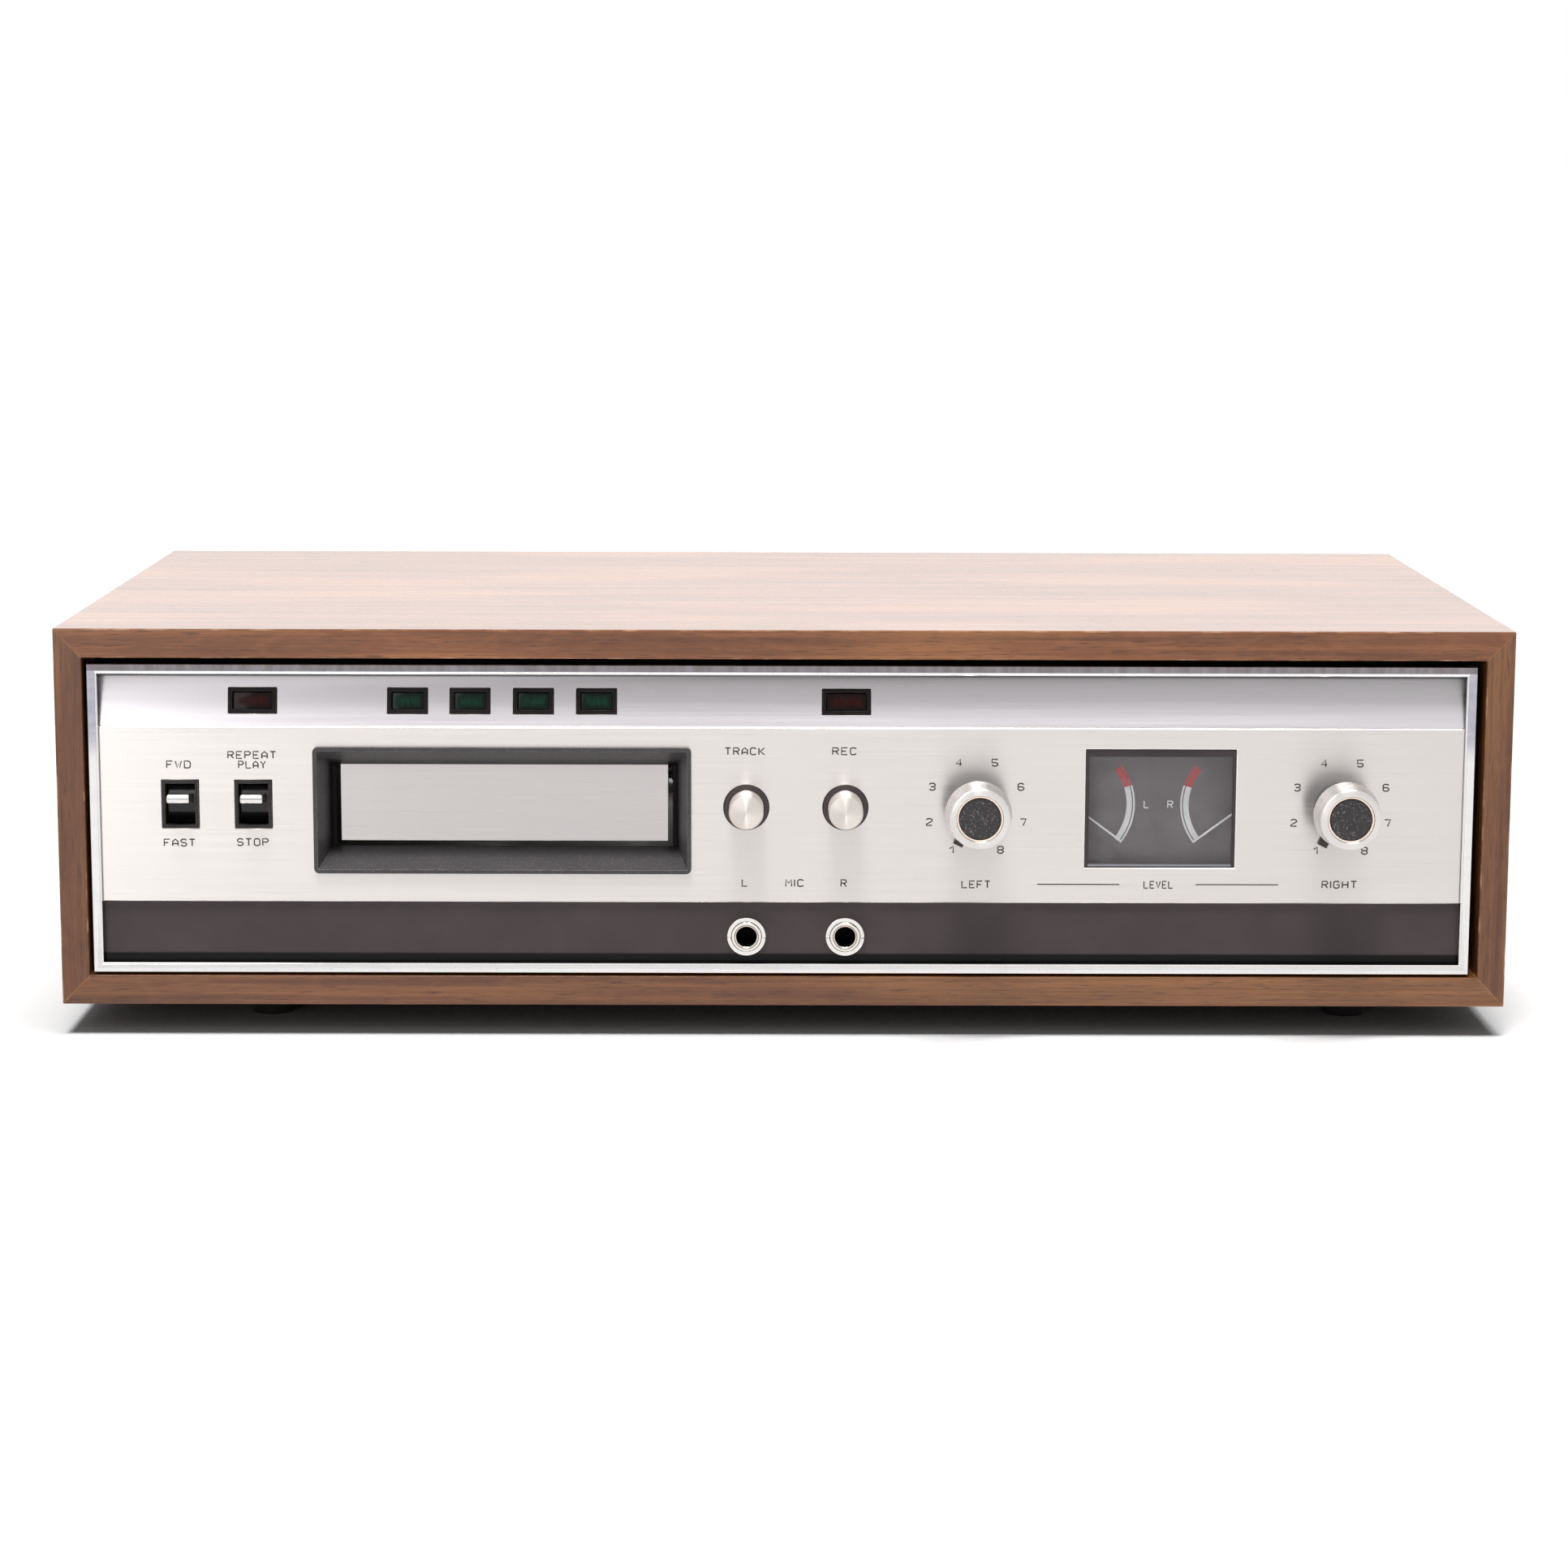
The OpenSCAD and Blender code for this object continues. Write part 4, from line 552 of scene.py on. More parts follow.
def shade(bm):
    """Smooth faces, with every sharp edge kept crisp.

    An edge between a flat face and its rounding is kept crisp too, so the flat stays flat.
    """
    wear = bm.faces.layers.float.get("wear")
    angle = math.radians(CRISP_ANGLE)
    for face in bm.faces:
        face.smooth = True
    for edge in bm.edges:
        edge.smooth = len(edge.link_faces) == 2 and edge.calc_face_angle(0) < angle
        if wear and edge.smooth:
            one, other = edge.link_faces
            edge.smooth = (one[wear] > 0) == (other[wear] > 0)


def finish(name, bm, material, body, slot, stands_for=()):
    """Makes a mesh into a piece of the object, on its body and with its finish."""
    shade(bm)
    mesh = bpy.data.meshes.new(name)
    bm.to_mesh(mesh)
    bm.free()
    for item in material if isinstance(material, list) else [material]:
        mesh.materials.append(item)
    obj = bpy.data.objects.new(name, mesh)
    bpy.context.scene.collection.objects.link(obj)
    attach(obj, body)
    if stands_for:
        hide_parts(*stands_for)
    return obj


def bevelled(bm, edges, width, segments):
    """Rounds edges and returns the new faces."""
    made = bmesh.ops.bevel(
        bm,
        geom=edges,
        offset=width * MM,
        offset_type="OFFSET",
        segments=segments,
        profile=0.5,
        affect="EDGES",
        clamp_overlap=True,
        material=-1,
    )
    return made["faces"]


def copy_of(node):
    """The mesh of a CAD node with its loose triangles merged into whole faces."""
    bm = bmesh.new()
    bm.from_mesh(frame["nodes"][node].data)
    bmesh.ops.remove_doubles(bm, verts=bm.verts, dist=SAME_CORNER)
    flat = {"angle_limit": math.radians(SAME_PLANE), "use_dissolve_boundaries": False}
    bmesh.ops.dissolve_limit(bm, verts=bm.verts, edges=bm.edges, **flat)
    return bm


def solids_of(node):
    """The lowest and highest corner of each solid of a CAD node, from left to right."""
    bm = copy_of(node)
    left, boxes = set(bm.verts), []
    while left:
        group, front = set(), [left.pop()]
        while front:
            vert = front.pop()
            group.add(vert)
            found = {edge.other_vert(vert) for edge in vert.link_edges} & left
            left -= found
            front.extend(found)
        corners = [[f(v.co[axis] for v in group) for axis in range(3)] for f in (min, max)]
        boxes.append([Vector(corner) for corner in corners])
    bm.free()
    return sorted(boxes, key=lambda box: box[0].x)


def softened(name, node, radius, material, segments=2):
    """A copy of a CAD node with its crisp edges rounded and marked as worn.

    Edges of a mitre, whose face leans both ways, get a hairline only.
    """
    bm = copy_of(node)
    bm.normal_update()
    wear = bm.faces.layers.float.new("wear")

    def leans(face):
        return abs(face.normal.x) > LEANING and abs(face.normal.z) > LEANING

    def crisp(edge):
        return len(edge.link_faces) == 2 and edge.calc_face_angle(0) > math.radians(ROUNDED_ANGLE)

    mitred = set()
    if node.startswith("cabinet"):
        edges = [e for e in bm.edges if crisp(e) and any(leans(f) for f in e.link_faces)]
        for face in bevelled(bm, edges, MITRE_HAIRLINE, 1):
            face[wear] = MITRE_WEAR
        bm.normal_update()
        mitred = {e for e in bm.edges if any(leans(f) or f[wear] for f in e.link_faces)}
    plain = [e for e in bm.edges if crisp(e) and e not in mitred]
    for face in bevelled(bm, plain, radius, segments):
        face[wear] = 1.0
    return finish(name, bm, material, frame["nodes"][node]["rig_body"], node, (node,))


def hoops(bm, centre, outlines):
    """Bridges upright rectangles of (width, height, depth) into one shell, last to first."""
    x, z = centre
    rings, upright = [], Matrix.Rotation(math.pi / 2, 3, "X")
    for wide, tall, depth in outlines:
        verts = bmesh.ops.create_grid(bm, x_segments=1, y_segments=1, size=0.5)["verts"]
        bmesh.ops.scale(bm, vec=(wide * MM, tall * MM, 1), verts=verts)
        bmesh.ops.rotate(bm, cent=(0, 0, 0), matrix=upright, verts=verts)
        bmesh.ops.translate(bm, vec=spot(x, depth, z), verts=verts)
        face = verts[0].link_faces[0]
        rings.append(list(face.edges))
        bmesh.ops.delete(bm, geom=[face], context="FACES_ONLY")
    for near, far in zip(rings, rings[1:] + rings[:1]):
        bmesh.ops.bridge_loops(bm, edges=near + far)
    bmesh.ops.recalc_face_normals(bm, faces=bm.faces)


def turn_on_lathe(bm, profile, x, z, steps=96, closed=False):
    """Spins a profile of (depth, radius) round the axis along Y through x and z."""
    verts = [bm.verts.new(spot(x + radius, depth, z)) for depth, radius in profile]
    edges = [bm.edges.new(pair) for pair in zip(verts, verts[1:])]
    if closed:
        edges.append(bm.edges.new((verts[-1], verts[0])))
    bmesh.ops.spin(
        bm,
        geom=verts + edges,
        cent=spot(x, 0, z),
        axis=(0, 1, 0),
        angle=math.tau,
        steps=steps,
        use_merge=True,
    )
    bmesh.ops.remove_doubles(bm, verts=bm.verts, dist=SAME_POINT)
    bmesh.ops.dissolve_degenerate(bm, edges=bm.edges, dist=SAME_POINT)
    bmesh.ops.recalc_face_normals(bm, faces=bm.faces)


def arc_band(bm, x, z, radii, angles, depth, steps=40):
    """A flat band of an arc that faces the front, round x and z, between two angles in degrees."""
    start, end = (math.radians(a) for a in angles)
    across, up = math.cos(start), math.sin(start)
    verts = [bm.verts.new(spot(x + r * across, depth, z + r * up)) for r in radii]
    bmesh.ops.spin(
        bm,
        geom=verts + [bm.edges.new(verts)],
        cent=spot(x, depth, z),
        axis=(0, -1, 0),
        angle=end - start,
        steps=steps,
        use_merge=False,
    )


def face_front(bm):
    """Turns the faces of a flat print towards the front."""
    bm.normal_update()
    bmesh.ops.reverse_faces(bm, faces=[f for f in bm.faces if f.normal.y > 0])


def letter(inks, words, x, z, depth, tall, width=None, stroke=0.42, turn=0.0):
    """Adds words to a list of prints, drawn with a round pen and centred on x and z.

    Each letter is drawn on a grid four wide and six high, and the word is stretched to a width
    if one is given, all in millimetres. A turn of half a circle prints it on the rear.
    """
    unit = tall / 6
    places, along = [], 0.0
    for sign in words:
        strokes = LETTERS[sign].split(",")
        points = [[(int(p[0]), int(p[1])) for p in line.split()] for line in strokes]
        places.append((points, along))
        along += max(p[0] for line in points for p in line) + LETTER_GAP
    total = along - LETTER_GAP
    across = width / total if width else unit
    curve = bpy.data.curves.new("words", "CURVE")
    curve.dimensions = "3D"
    curve.bevel_depth = stroke * MM / 2
    curve.bevel_resolution = 1
    curve.use_fill_caps = True
    for points, start in places:
        for line in points:
            spline = curve.splines.new("POLY")
            spline.points.add(len(line) - 1)
            for point, (u, v) in zip(spline.points, line):
                point.co = (start + u - total / 2) * across * MM, (v - 3) * unit * MM, 0, 1
    holder = bpy.data.objects.new("words", curve)
    mesh = bpy.data.meshes.new_from_object(holder)
    mesh.transform(
        Matrix.Translation(spot(x, depth, z))
        @ Matrix.Rotation(turn, 4, "Z")
        @ Matrix.Rotation(math.pi / 2, 4, "X")
        @ Matrix.Diagonal((1, 1, INK_FLATNESS, 1))
    )
    inks.from_mesh(mesh)
    bpy.data.meshes.remove(mesh)
    bpy.data.objects.remove(holder)
    bpy.data.curves.remove(curve)


def bar(bm, low, high):
    """A box between two places in millimetres, for parts of a larger piece."""
    verts = bmesh.ops.create_cube(bm, size=1.0)["verts"]
    a, b = spot(*low), spot(*high)
    bmesh.ops.scale(bm, vec=b - a, verts=verts)
    bmesh.ops.translate(bm, vec=(a + b) / 2, verts=verts)


def join(bm, part):
    """Adds a finished part to a mesh and frees it."""
    mesh = bpy.data.meshes.new("part")
    part.to_mesh(mesh)
    part.free()
    bm.from_mesh(mesh)
    bpy.data.meshes.remove(mesh)


def repaint(material, *nodes):
    """Gives CAD nodes their finish."""
    for node in nodes:
        slots = frame["nodes"][node].data.materials
        slots.clear()
        slots.append(material)


# Settings


class RecorderCabinet(bpy.types.PropertyGroup):
    """Veneer of the cabinet. Tones are sRGB hex and lengths are millimetres."""

    veneer: bpy.props.StringProperty(
        name="Veneer", description="Middle tone of the walnut", default="#85502f"
    )
    dark_streak: bpy.props.StringProperty(
        name="Dark streak", description="Dark streaks of the walnut", default="#663a20"
    )
    light_streak: bpy.props.StringProperty(
        name="Light streak", description="Light streaks of the walnut", default="#a56b42"
    )
    pore: bpy.props.StringProperty(
        name="Pore", description="Pores of the walnut", default="#42261a"
    )
    heartwood: bpy.props.StringProperty(
        name="Heartwood", description="Golden areas of the walnut", default="#b67a48"
    )
    bare_wood: bpy.props.StringProperty(
        name="Bare wood", description="Wood at rubbed edges", default="#b58a66"
    )
    edge_radius: bpy.props.FloatProperty(
        name="Edge radius", description="Rounding of the boards", default=0.45, min=0.1
    )


class RecorderFront(bpy.types.PropertyGroup):
    """Metals and plastics of the front. Tones are sRGB hex and lengths are millimetres."""

    panel: bpy.props.StringProperty(
        name="Main panel", description="Tone of the main panel", default="#d2cdca"
    )
    strip: bpy.props.StringProperty(
        name="Lamp strip", description="Tone of the lamp strip", default="#c3bfc2"
    )
    flap: bpy.props.StringProperty(name="Flap", description="Tone of the flap", default="#c6c1c0")
    band: bpy.props.StringProperty(
        name="Lower band", description="Tone of the lower band", default="#473f3f"
    )
    band_shade: bpy.props.FloatProperty(
        name="Band shade", description="Height of the dark foot of the band", default=4.8, min=0.0
    )
    black: bpy.props.StringProperty(
        name="Black mouldings", description="Tone of the black mouldings", default="#434041"
    )
    knob_waist: bpy.props.FloatProperty(
        name="Knob waist", description="Largest diameter of a knob", default=20.4
    )
    knob_rim: bpy.props.FloatProperty(
        name="Knob rim", description="Diameter of a knob's front rim", default=18.6
    )
    metal: bpy.props.StringProperty(
        name="Turned metal", description="Tone of the knobs", default="#dcd8d6"
    )
    chrome: bpy.props.StringProperty(
        name="Chrome", description="Tone of the trim and the levers", default="#e2e0df"
    )
    ink: bpy.props.StringProperty(
        name="Ink", description="Tone of the printed legends", default="#302b29"
    )
    legend_height: bpy.props.FloatProperty(
        name="Legend height", description="Height of a capital", default=2.1, min=1.0
    )
    numeral_height: bpy.props.FloatProperty(
        name="Numeral height", description="Height of a dial number", default=2.1, min=1.0
    )
    numeral_radius: bpy.props.FloatProperty(
        name="Numeral radius", description="Radius of the ring of numbers", default=15.1, min=12.0
    )


class RecorderStage(bpy.types.PropertyGroup):
    """Camera, lamps and floor."""

    sky: bpy.props.FloatProperty(
        name="Sky", description="Strength of the even light", default=0.1, min=0.0
    )
    overhead: bpy.props.FloatProperty(
        name="Overhead", description="Strength of the light from above", default=1.5, min=0.0
    )
    front: bpy.props.FloatProperty(
        name="Front", description="Strength of the light from the front", default=2.46, min=0.0
    )
    window: bpy.props.FloatProperty(
        name="Window", description="Power of the pane behind", default=8.5, min=0.0, unit="POWER"
    )
    side: bpy.props.FloatProperty(
        name="Side", description="Power of the left soft box", default=3.9, min=0.0, unit="POWER"
    )
    lens: bpy.props.FloatProperty(
        name="Lens", description="Focal length", default=85.51, min=10.0, subtype="DISTANCE_CAMERA"
    )
    floor: bpy.props.FloatProperty(
        name="Floor", description="Paleness of the floor", default=0.82, min=0.0, max=1.0
    )


# Pieces


class RECORDER_OT_stage(bpy.types.Operator):
    """Sets the camera, the soft lamps, the pale floor and the white background"""

    bl_idname = "recorder.stage"
    bl_label = "Stage"

    def execute(self, context):
        settings = context.scene.recorder_stage
        self.camera(context, settings)
        self.world(context, settings)
        self.lamps(context, settings)
        self.floor(context, settings)
        context.scene.view_settings.view_transform = "Standard"
        return {"FINISHED"}

    def camera(self, context, settings):
        data = bpy.data.cameras.new("view from the front")
        data.lens = settings.lens
        data.sensor_width = 36.0
        data.sensor_fit = "HORIZONTAL"
        data.clip_start, data.clip_end = 0.05, 50.0
        pitch, yaw, roll = CAMERA_TURN
        ahead = Vector(
            (math.sin(yaw) * math.cos(pitch), math.cos(yaw) * math.cos(pitch), -math.sin(pitch))
        )
        right = Vector((math.cos(yaw), -math.sin(yaw), 0))
        up = right.cross(ahead)
        across = right * math.cos(roll) + up * math.sin(roll)
        above = up * math.cos(roll) - right * math.sin(roll)
        camera = bpy.data.objects.new("view from the front", data)
        axes = Matrix((across, above, -ahead)).transposed().to_4x4()
        camera.matrix_world = Matrix.Translation(CAMERA_PLACE) @ axes
        context.scene.collection.objects.link(camera)
        context.scene.camera = camera

    def world(self, context, settings):
        """The camera and mirrors see a white room, while matt surfaces are lit by a weaker sky."""
        world = bpy.data.worlds.new("studio")
        world.use_nodes = True
        tree = world.node_tree
        tree.nodes.clear()
        seen = add(tree, "ShaderNodeLightPath", output="Is Camera Ray")
        rays = seen.node.outputs
        for kind in ("Is Glossy Ray", "Is Transmission Ray"):
            seen = add(tree, "ShaderNodeMath", {"operation": "MAXIMUM"}, {0: seen, 1: rays[kind]})
        ends = {"Value": seen, "To Min": settings.sky, "To Max": 1.0}
        strength = add(tree, "ShaderNodeMapRange", inputs=ends)
        light = {"Color": (1, 1, 1, 1), "Strength": strength}
        sky = add(tree, "ShaderNodeBackground", inputs=light)
        add(tree, "ShaderNodeOutputWorld", inputs={"Surface": sky})
        context.scene.world = world

    def lamps(self, context, settings):
        """Two suns whose size is an angle, and two areas whose size is in metres."""
        for name, kind, place, power, size in (
            ("light from above", "SUN", (0.12, -0.1, 1.0), settings.overhead, 22),
            ("light from the front", "SUN", (-0.25, -1.0, 3.2), settings.front, 16),
            ("pane behind", "AREA", (0.2, 2.3, 0.8), settings.window, (4.5, 0.6)),
            ("soft box on the left", "AREA", (-0.6, -1.5, 0.7), settings.side, (0.35, 1.4)),
        ):
            data = bpy.data.lights.new(name, kind)
            data.energy = power
            if kind == "SUN":
                data.angle = math.radians(size)
            else:
                data.shape = "RECTANGLE"
                data.size, data.size_y = size
            lamp = bpy.data.objects.new(name, data)
            lamp.location = place
            aim = Vector(AIM_OF_LAMPS) - Vector(place)
            lamp.rotation_euler = aim.to_track_quat("-Z", "Y").to_euler()
            lamp.visible_camera = False
            context.scene.collection.objects.link(lamp)

    def floor(self, context, settings):
        bm = bmesh.new()
        bmesh.ops.create_grid(bm, x_segments=1, y_segments=1, size=30.0)
        mesh = bpy.data.meshes.new("floor")
        bm.to_mesh(mesh)
        bm.free()
        floor = bpy.data.objects.new("floor", mesh)
        context.scene.collection.objects.link(floor)
        material, tree = blank("matt white paper")
        tone = settings.floor
        paper = add(tree, "ShaderNodeBsdfDiffuse", inputs={"Color": (tone, tone, tone, 1)})
        add(tree, "ShaderNodeOutputMaterial", inputs={"Surface": paper})
        mesh.materials.append(material)


class RECORDER_OT_cabinet(bpy.types.Operator):
    """Builds the four walnut boards with rubbed edges, and the feet"""

    bl_idname = "recorder.cabinet"
    bl_label = "Cabinet"

    def execute(self, context):
        settings = context.scene.recorder_cabinet
        lengthways, upright = (0, 0, 0), (0, math.radians(90), 0)
        boards = {}
        # The third number darkens a board as painted shade: the sides and bottom get less light
        # than the top
        for name, node, painted_shade, turn in (
            ("walnut_top_board", "cabinet_top", 0.05, lengthways),
            ("walnut_bottom_board", "cabinet_bottom", 0.34, lengthways),
            ("walnut_side_boards", "cabinet_sides", 0.4, upright),
        ):
            veneer = walnut_veneer(name.replace("_", " ") + " veneer", settings, painted_shade, turn)
            boards[name] = softened(name, node, settings.edge_radius, veneer)
        self.underside(boards["walnut_bottom_board"])
        softened("round_feet", "feet", 0.5, rubber("black rubber", "#1f1c1b"))
        return {"FINISHED"}

    def underside(self, board):
        """The bottom board's lower face, not veneered and painted dark: painted shade that deepens
        the floor's shadow beneath.
        """
        # Painted shade: a dark underside that deepens the shadow on the floor beneath the cabinet
        painted_shade = stove_enamel("dark underside, painted shade", "#35241c", roughness=0.8, level=0.1)
        board.data.materials.append(painted_shade)
        for face in board.data.polygons:
            if face.normal.z < -FACING:
                face.material_index = 1


class RECORDER_OT_front(bpy.types.Operator):
    """Builds the chrome trim, the main panel, the lamp strip and the lower band"""

    bl_idname = "recorder.front"
    bl_label = "Front"

    def execute(self, context):
        settings = context.scene.recorder_front
        self.trim(settings)
        panel = brushed_aluminium("brushed anodised aluminium", settings.panel)
        softened("main_face", "front_panel", 0.22, panel, segments=1)
        # The strip is painted darker towards its top, painted shade under the cabinet's top board
        strip = brushed_aluminium(
            "brushed anodised aluminium, strip",
            settings.strip,
            length=90.0,
            width=0.6,
            contrast=0.035,
            painted_shade_heights=(88, 106),
        )
        softened("lamp_face", "lamp_strip", 0.22, strip, segments=1)
        band = moulded_plastic(
            "satin brown-black enamel",
            settings.band,
            roughness=0.34,
            rub="#8d8682",
            texture=0.5,
            depth=0.006,
            level=0.15,
            # Painted shade along the foot of the band
            painted_shade_below=height(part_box("lower_band")[0]) + settings.band_shade,
        )
        softened("lower_bar", "lower_band", 0.2, band, segments=1)
        return {"FINISHED"}

    def trim(self, settings):
        """A pressed strip: its face slopes in to a fine bead along the inner edge."""
        low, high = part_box("chrome_trim")
        wide, tall = (high.x - low.x) / MM, (high.z - low.z) / MM
        front, back = front_of("chrome_trim"), back_of("chrome_trim")
        bm = bmesh.new()
        # How far in from the outline, and how deep
        steps = (
            (0.0, back), (0.0, front + 0.2), (0.2, front), (2.2, front + 0.3), (2.4, front + 0.42),
            (2.55, front + 0.25), (2.8, front + 0.18), (3.0, front + 0.28), (3.1, front + 0.5),
            (3.1, front + 1.2), (1.0, front + 1.2), (1.0, back),
        )
        outlines = [(wide - 2 * inset, tall - 2 * inset, depth) for inset, depth in steps]
        hoops(bm, middle("chrome_trim"), outlines)
        # The top 2.2 mm of the trim is painted grey, a painted reflection of the dark ground before
        # the cabinet
        dull = height(high) - 2.2
        chrome = plated(
            "bright chrome", settings.chrome, 0.07, 0.15, painted_reflection_above=dull, painted_reflection_band=(76, 84)
        )
        bead = plated("bright chrome, bead", settings.chrome, 0.07, 0.1)
        for face in bm.faces:
            centre = face.calc_center_median()
            insets = centre.x - low.x, high.x - centre.x, centre.z - low.z, high.z - centre.z
            if min(insets) / MM > BEAD_INSET:
                face.material_index = 1
        finish("chrome_frame", bm, [chrome, bead], "case", "chrome_trim", ("chrome_trim",))


class RECORDER_OT_slot(bpy.types.Operator):
    """Builds the cartridge slot's surround and its flap"""

    bl_idname = "recorder.slot"
    bl_label = "Cartridge slot"

    def execute(self, context):
        settings = context.scene.recorder_front
        rim = front_of("slot_bezel")
        black = moulded_plastic(
            "black moulded ABS",
            settings.black,
            roughness=0.42,
            rub="#85807f",
            texture=0.3,
            depth=0.015,
            level=0.25,
            # Painted shade deep inside the mouth
            painted_shade_inside=(rim + 5, rim + 9.5),
            specks=0.25,
        )
        surround = softened("slot_surround", "slot_bezel", 0.45, black)
        # Painted shade: the deepest faces of the mouth are near black and without shine
        mouth = moulded_plastic(
            "black inside the mouth, painted shade", "#0c0a0b", roughness=0.8, rub="#121011", level=0.0
        )
        surround.data.materials.append(mouth)
        for face in surround.data.polygons:
            if face.center.y > CABINET_FRONT + (rim + 8.5) * MM:
                face.material_index = 1
        leaf = brushed_aluminium("brushed aluminium flap", settings.flap, length=45.0, width=0.35)
        softened("flap", "door_leaf", 0.25, leaf)
        repaint(moulded_plastic("black ABS hinge", "#171617", level=0.15), "door_carrier")
        repaint(plated_sheet("blackened steel pin", "#3a3837", 0.4), "door_pin")
        return {"FINISHED"}


class RECORDER_OT_lamps(bpy.types.Operator):
    """Builds the lamp windows: black frames with red and green lenses"""

    bl_idname = "recorder.lamps"
    bl_label = "Lamps"

    def execute(self, context):
        black = moulded_plastic(
            "black lamp frame", "#130f10", rub="#2a2424", texture=0.4, depth=0.008, level=0.12
        )
        softened("lamp_frames", "lamp_bezels", 0.3, black)
        # The last colour of each lens is its painted glow
        for node, name, tone, glow in (
            ("red_lenses", "red_lamp_lenses", "#0c0707", "#45100f"),
            ("green_lenses", "green_lamp_lenses", "#0c100f", "#184a37"),
        ):
            self.lenses(node, name, tinted_lens(name.replace("_", " "), tone, glow))
        repaint(circuit_board("phenolic lamp board", "#a07c48", "#b89159"), "lamp_board")
        return {"FINISHED"}

    def lenses(self, node, name, material):
        """Crowned lenses whose middle is marked for the painted glow."""
        bm = copy_of(node)
        bm.normal_update()
        glow = bm.verts.layers.float.new("glow")
        fronts = [f for f in bm.faces if f.normal.y < -FACING]
        for turn, rise in enumerate(LENS_CROWN):
            bmesh.ops.inset_individual(bm, faces=fronts, thickness=LENS_RING * MM, depth=0.0)
            for vert in {v for face in fronts for v in face.verts}:
                vert[glow] = (turn + 1) / len(LENS_CROWN)
                vert.co.y -= rise * MM
        finish(name, bm, material, "case", node, (node,))


class RECORDER_OT_switches(bpy.types.Operator):
    """Builds the two lever switches"""

    bl_idname = "recorder.switches"
    bl_label = "Lever switches"

    def execute(self, context):
        settings = context.scene.recorder_front
        gloss = moulded_plastic(
            "glossy black ABS",
            "#151314",
            roughness=0.16,
            rub="#5b5655",
            texture=0.6,
            depth=0.004,
            level=0.4,
        )
        satin = moulded_plastic(
            "satin black ABS, window", "#1e1919", roughness=0.35, rub="#4c4544", level=0.3
        )
        softened("switch_boxes", "switch_housings", 0.3, satin)
        chrome = plated("bright chrome, levers", settings.chrome, 0.08, 0.15)
        shadow = moulded_plastic("painted shadow of the paddle's groove", "#2d2a2c", roughness=0.5)
        for side in ("forward", "play"):
            softened(side + "_drum", side + "_lever", 0.3, gloss)
            softened(side + "_paddle", side + "_tip", 0.4, chrome, segments=3)
            self.groove(side, shadow)
        return {"FINISHED"}

    def groove(self, side, material):
        """A dark bar along a paddle's nose: the painted shadow of its fine groove."""
        low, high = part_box(side + "_tip")
        x, _ = middle(side + "_tip")
        front = front_of(side + "_tip")
        half = (high.x - low.x) / MM / 2 - 0.2
        nose = height(high) - 1.4
        bm = bmesh.new()
        bar(bm, (x - half, front - 0.02, nose + 0.08), (x + half, front + 0.4, nose + 0.36))
        bevelled(bm, list(bm.edges), 0.08, 1)
        finish(side + "_paddle_groove", bm, material, side + "_switch", side + "_tip")


class RECORDER_OT_buttons(bpy.types.Operator):
    """Builds the two push buttons with their spun faces, and their black collars"""

    bl_idname = "recorder.buttons"
    bl_label = "Push buttons"

    def execute(self, context):
        metal = turned_aluminium("turned aluminium, buttons", "#ded6d0", 0.38, 0.46)
        collar = moulded_plastic("satin black collar", "#332a2a", roughness=0.4, rub="#5a5150")
        softened("button_collars", "push_switches", 0.25, collar)
        for side in ("program", "record"):
            node = side + "_button"
            front, back = front_of(node), back_of(node)
            low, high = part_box(node)
            radius = (high.x - low.x) / 2 / MM
            # A shallow cone, as the tool left it, inside a narrow chamfer
            profile = [
                (front + 0.16, 0), (front + 0.12, 1.5), (front, radius - 0.55),
                (front + 0.08, radius - 0.3), (front + 0.35, radius - 0.05), (front + 0.5, radius),
                (BUTTON_HEAD_BACK, radius), (BUTTON_HEAD_BACK, BUTTON_STEM), (back, BUTTON_STEM),
                (back, 0),
            ]
            bm = bmesh.new()
            turn_on_lathe(bm, profile, *middle(node))
            finish(side + "_push_button", bm, metal, side + "_key", node, (node,))
        return {"FINISHED"}


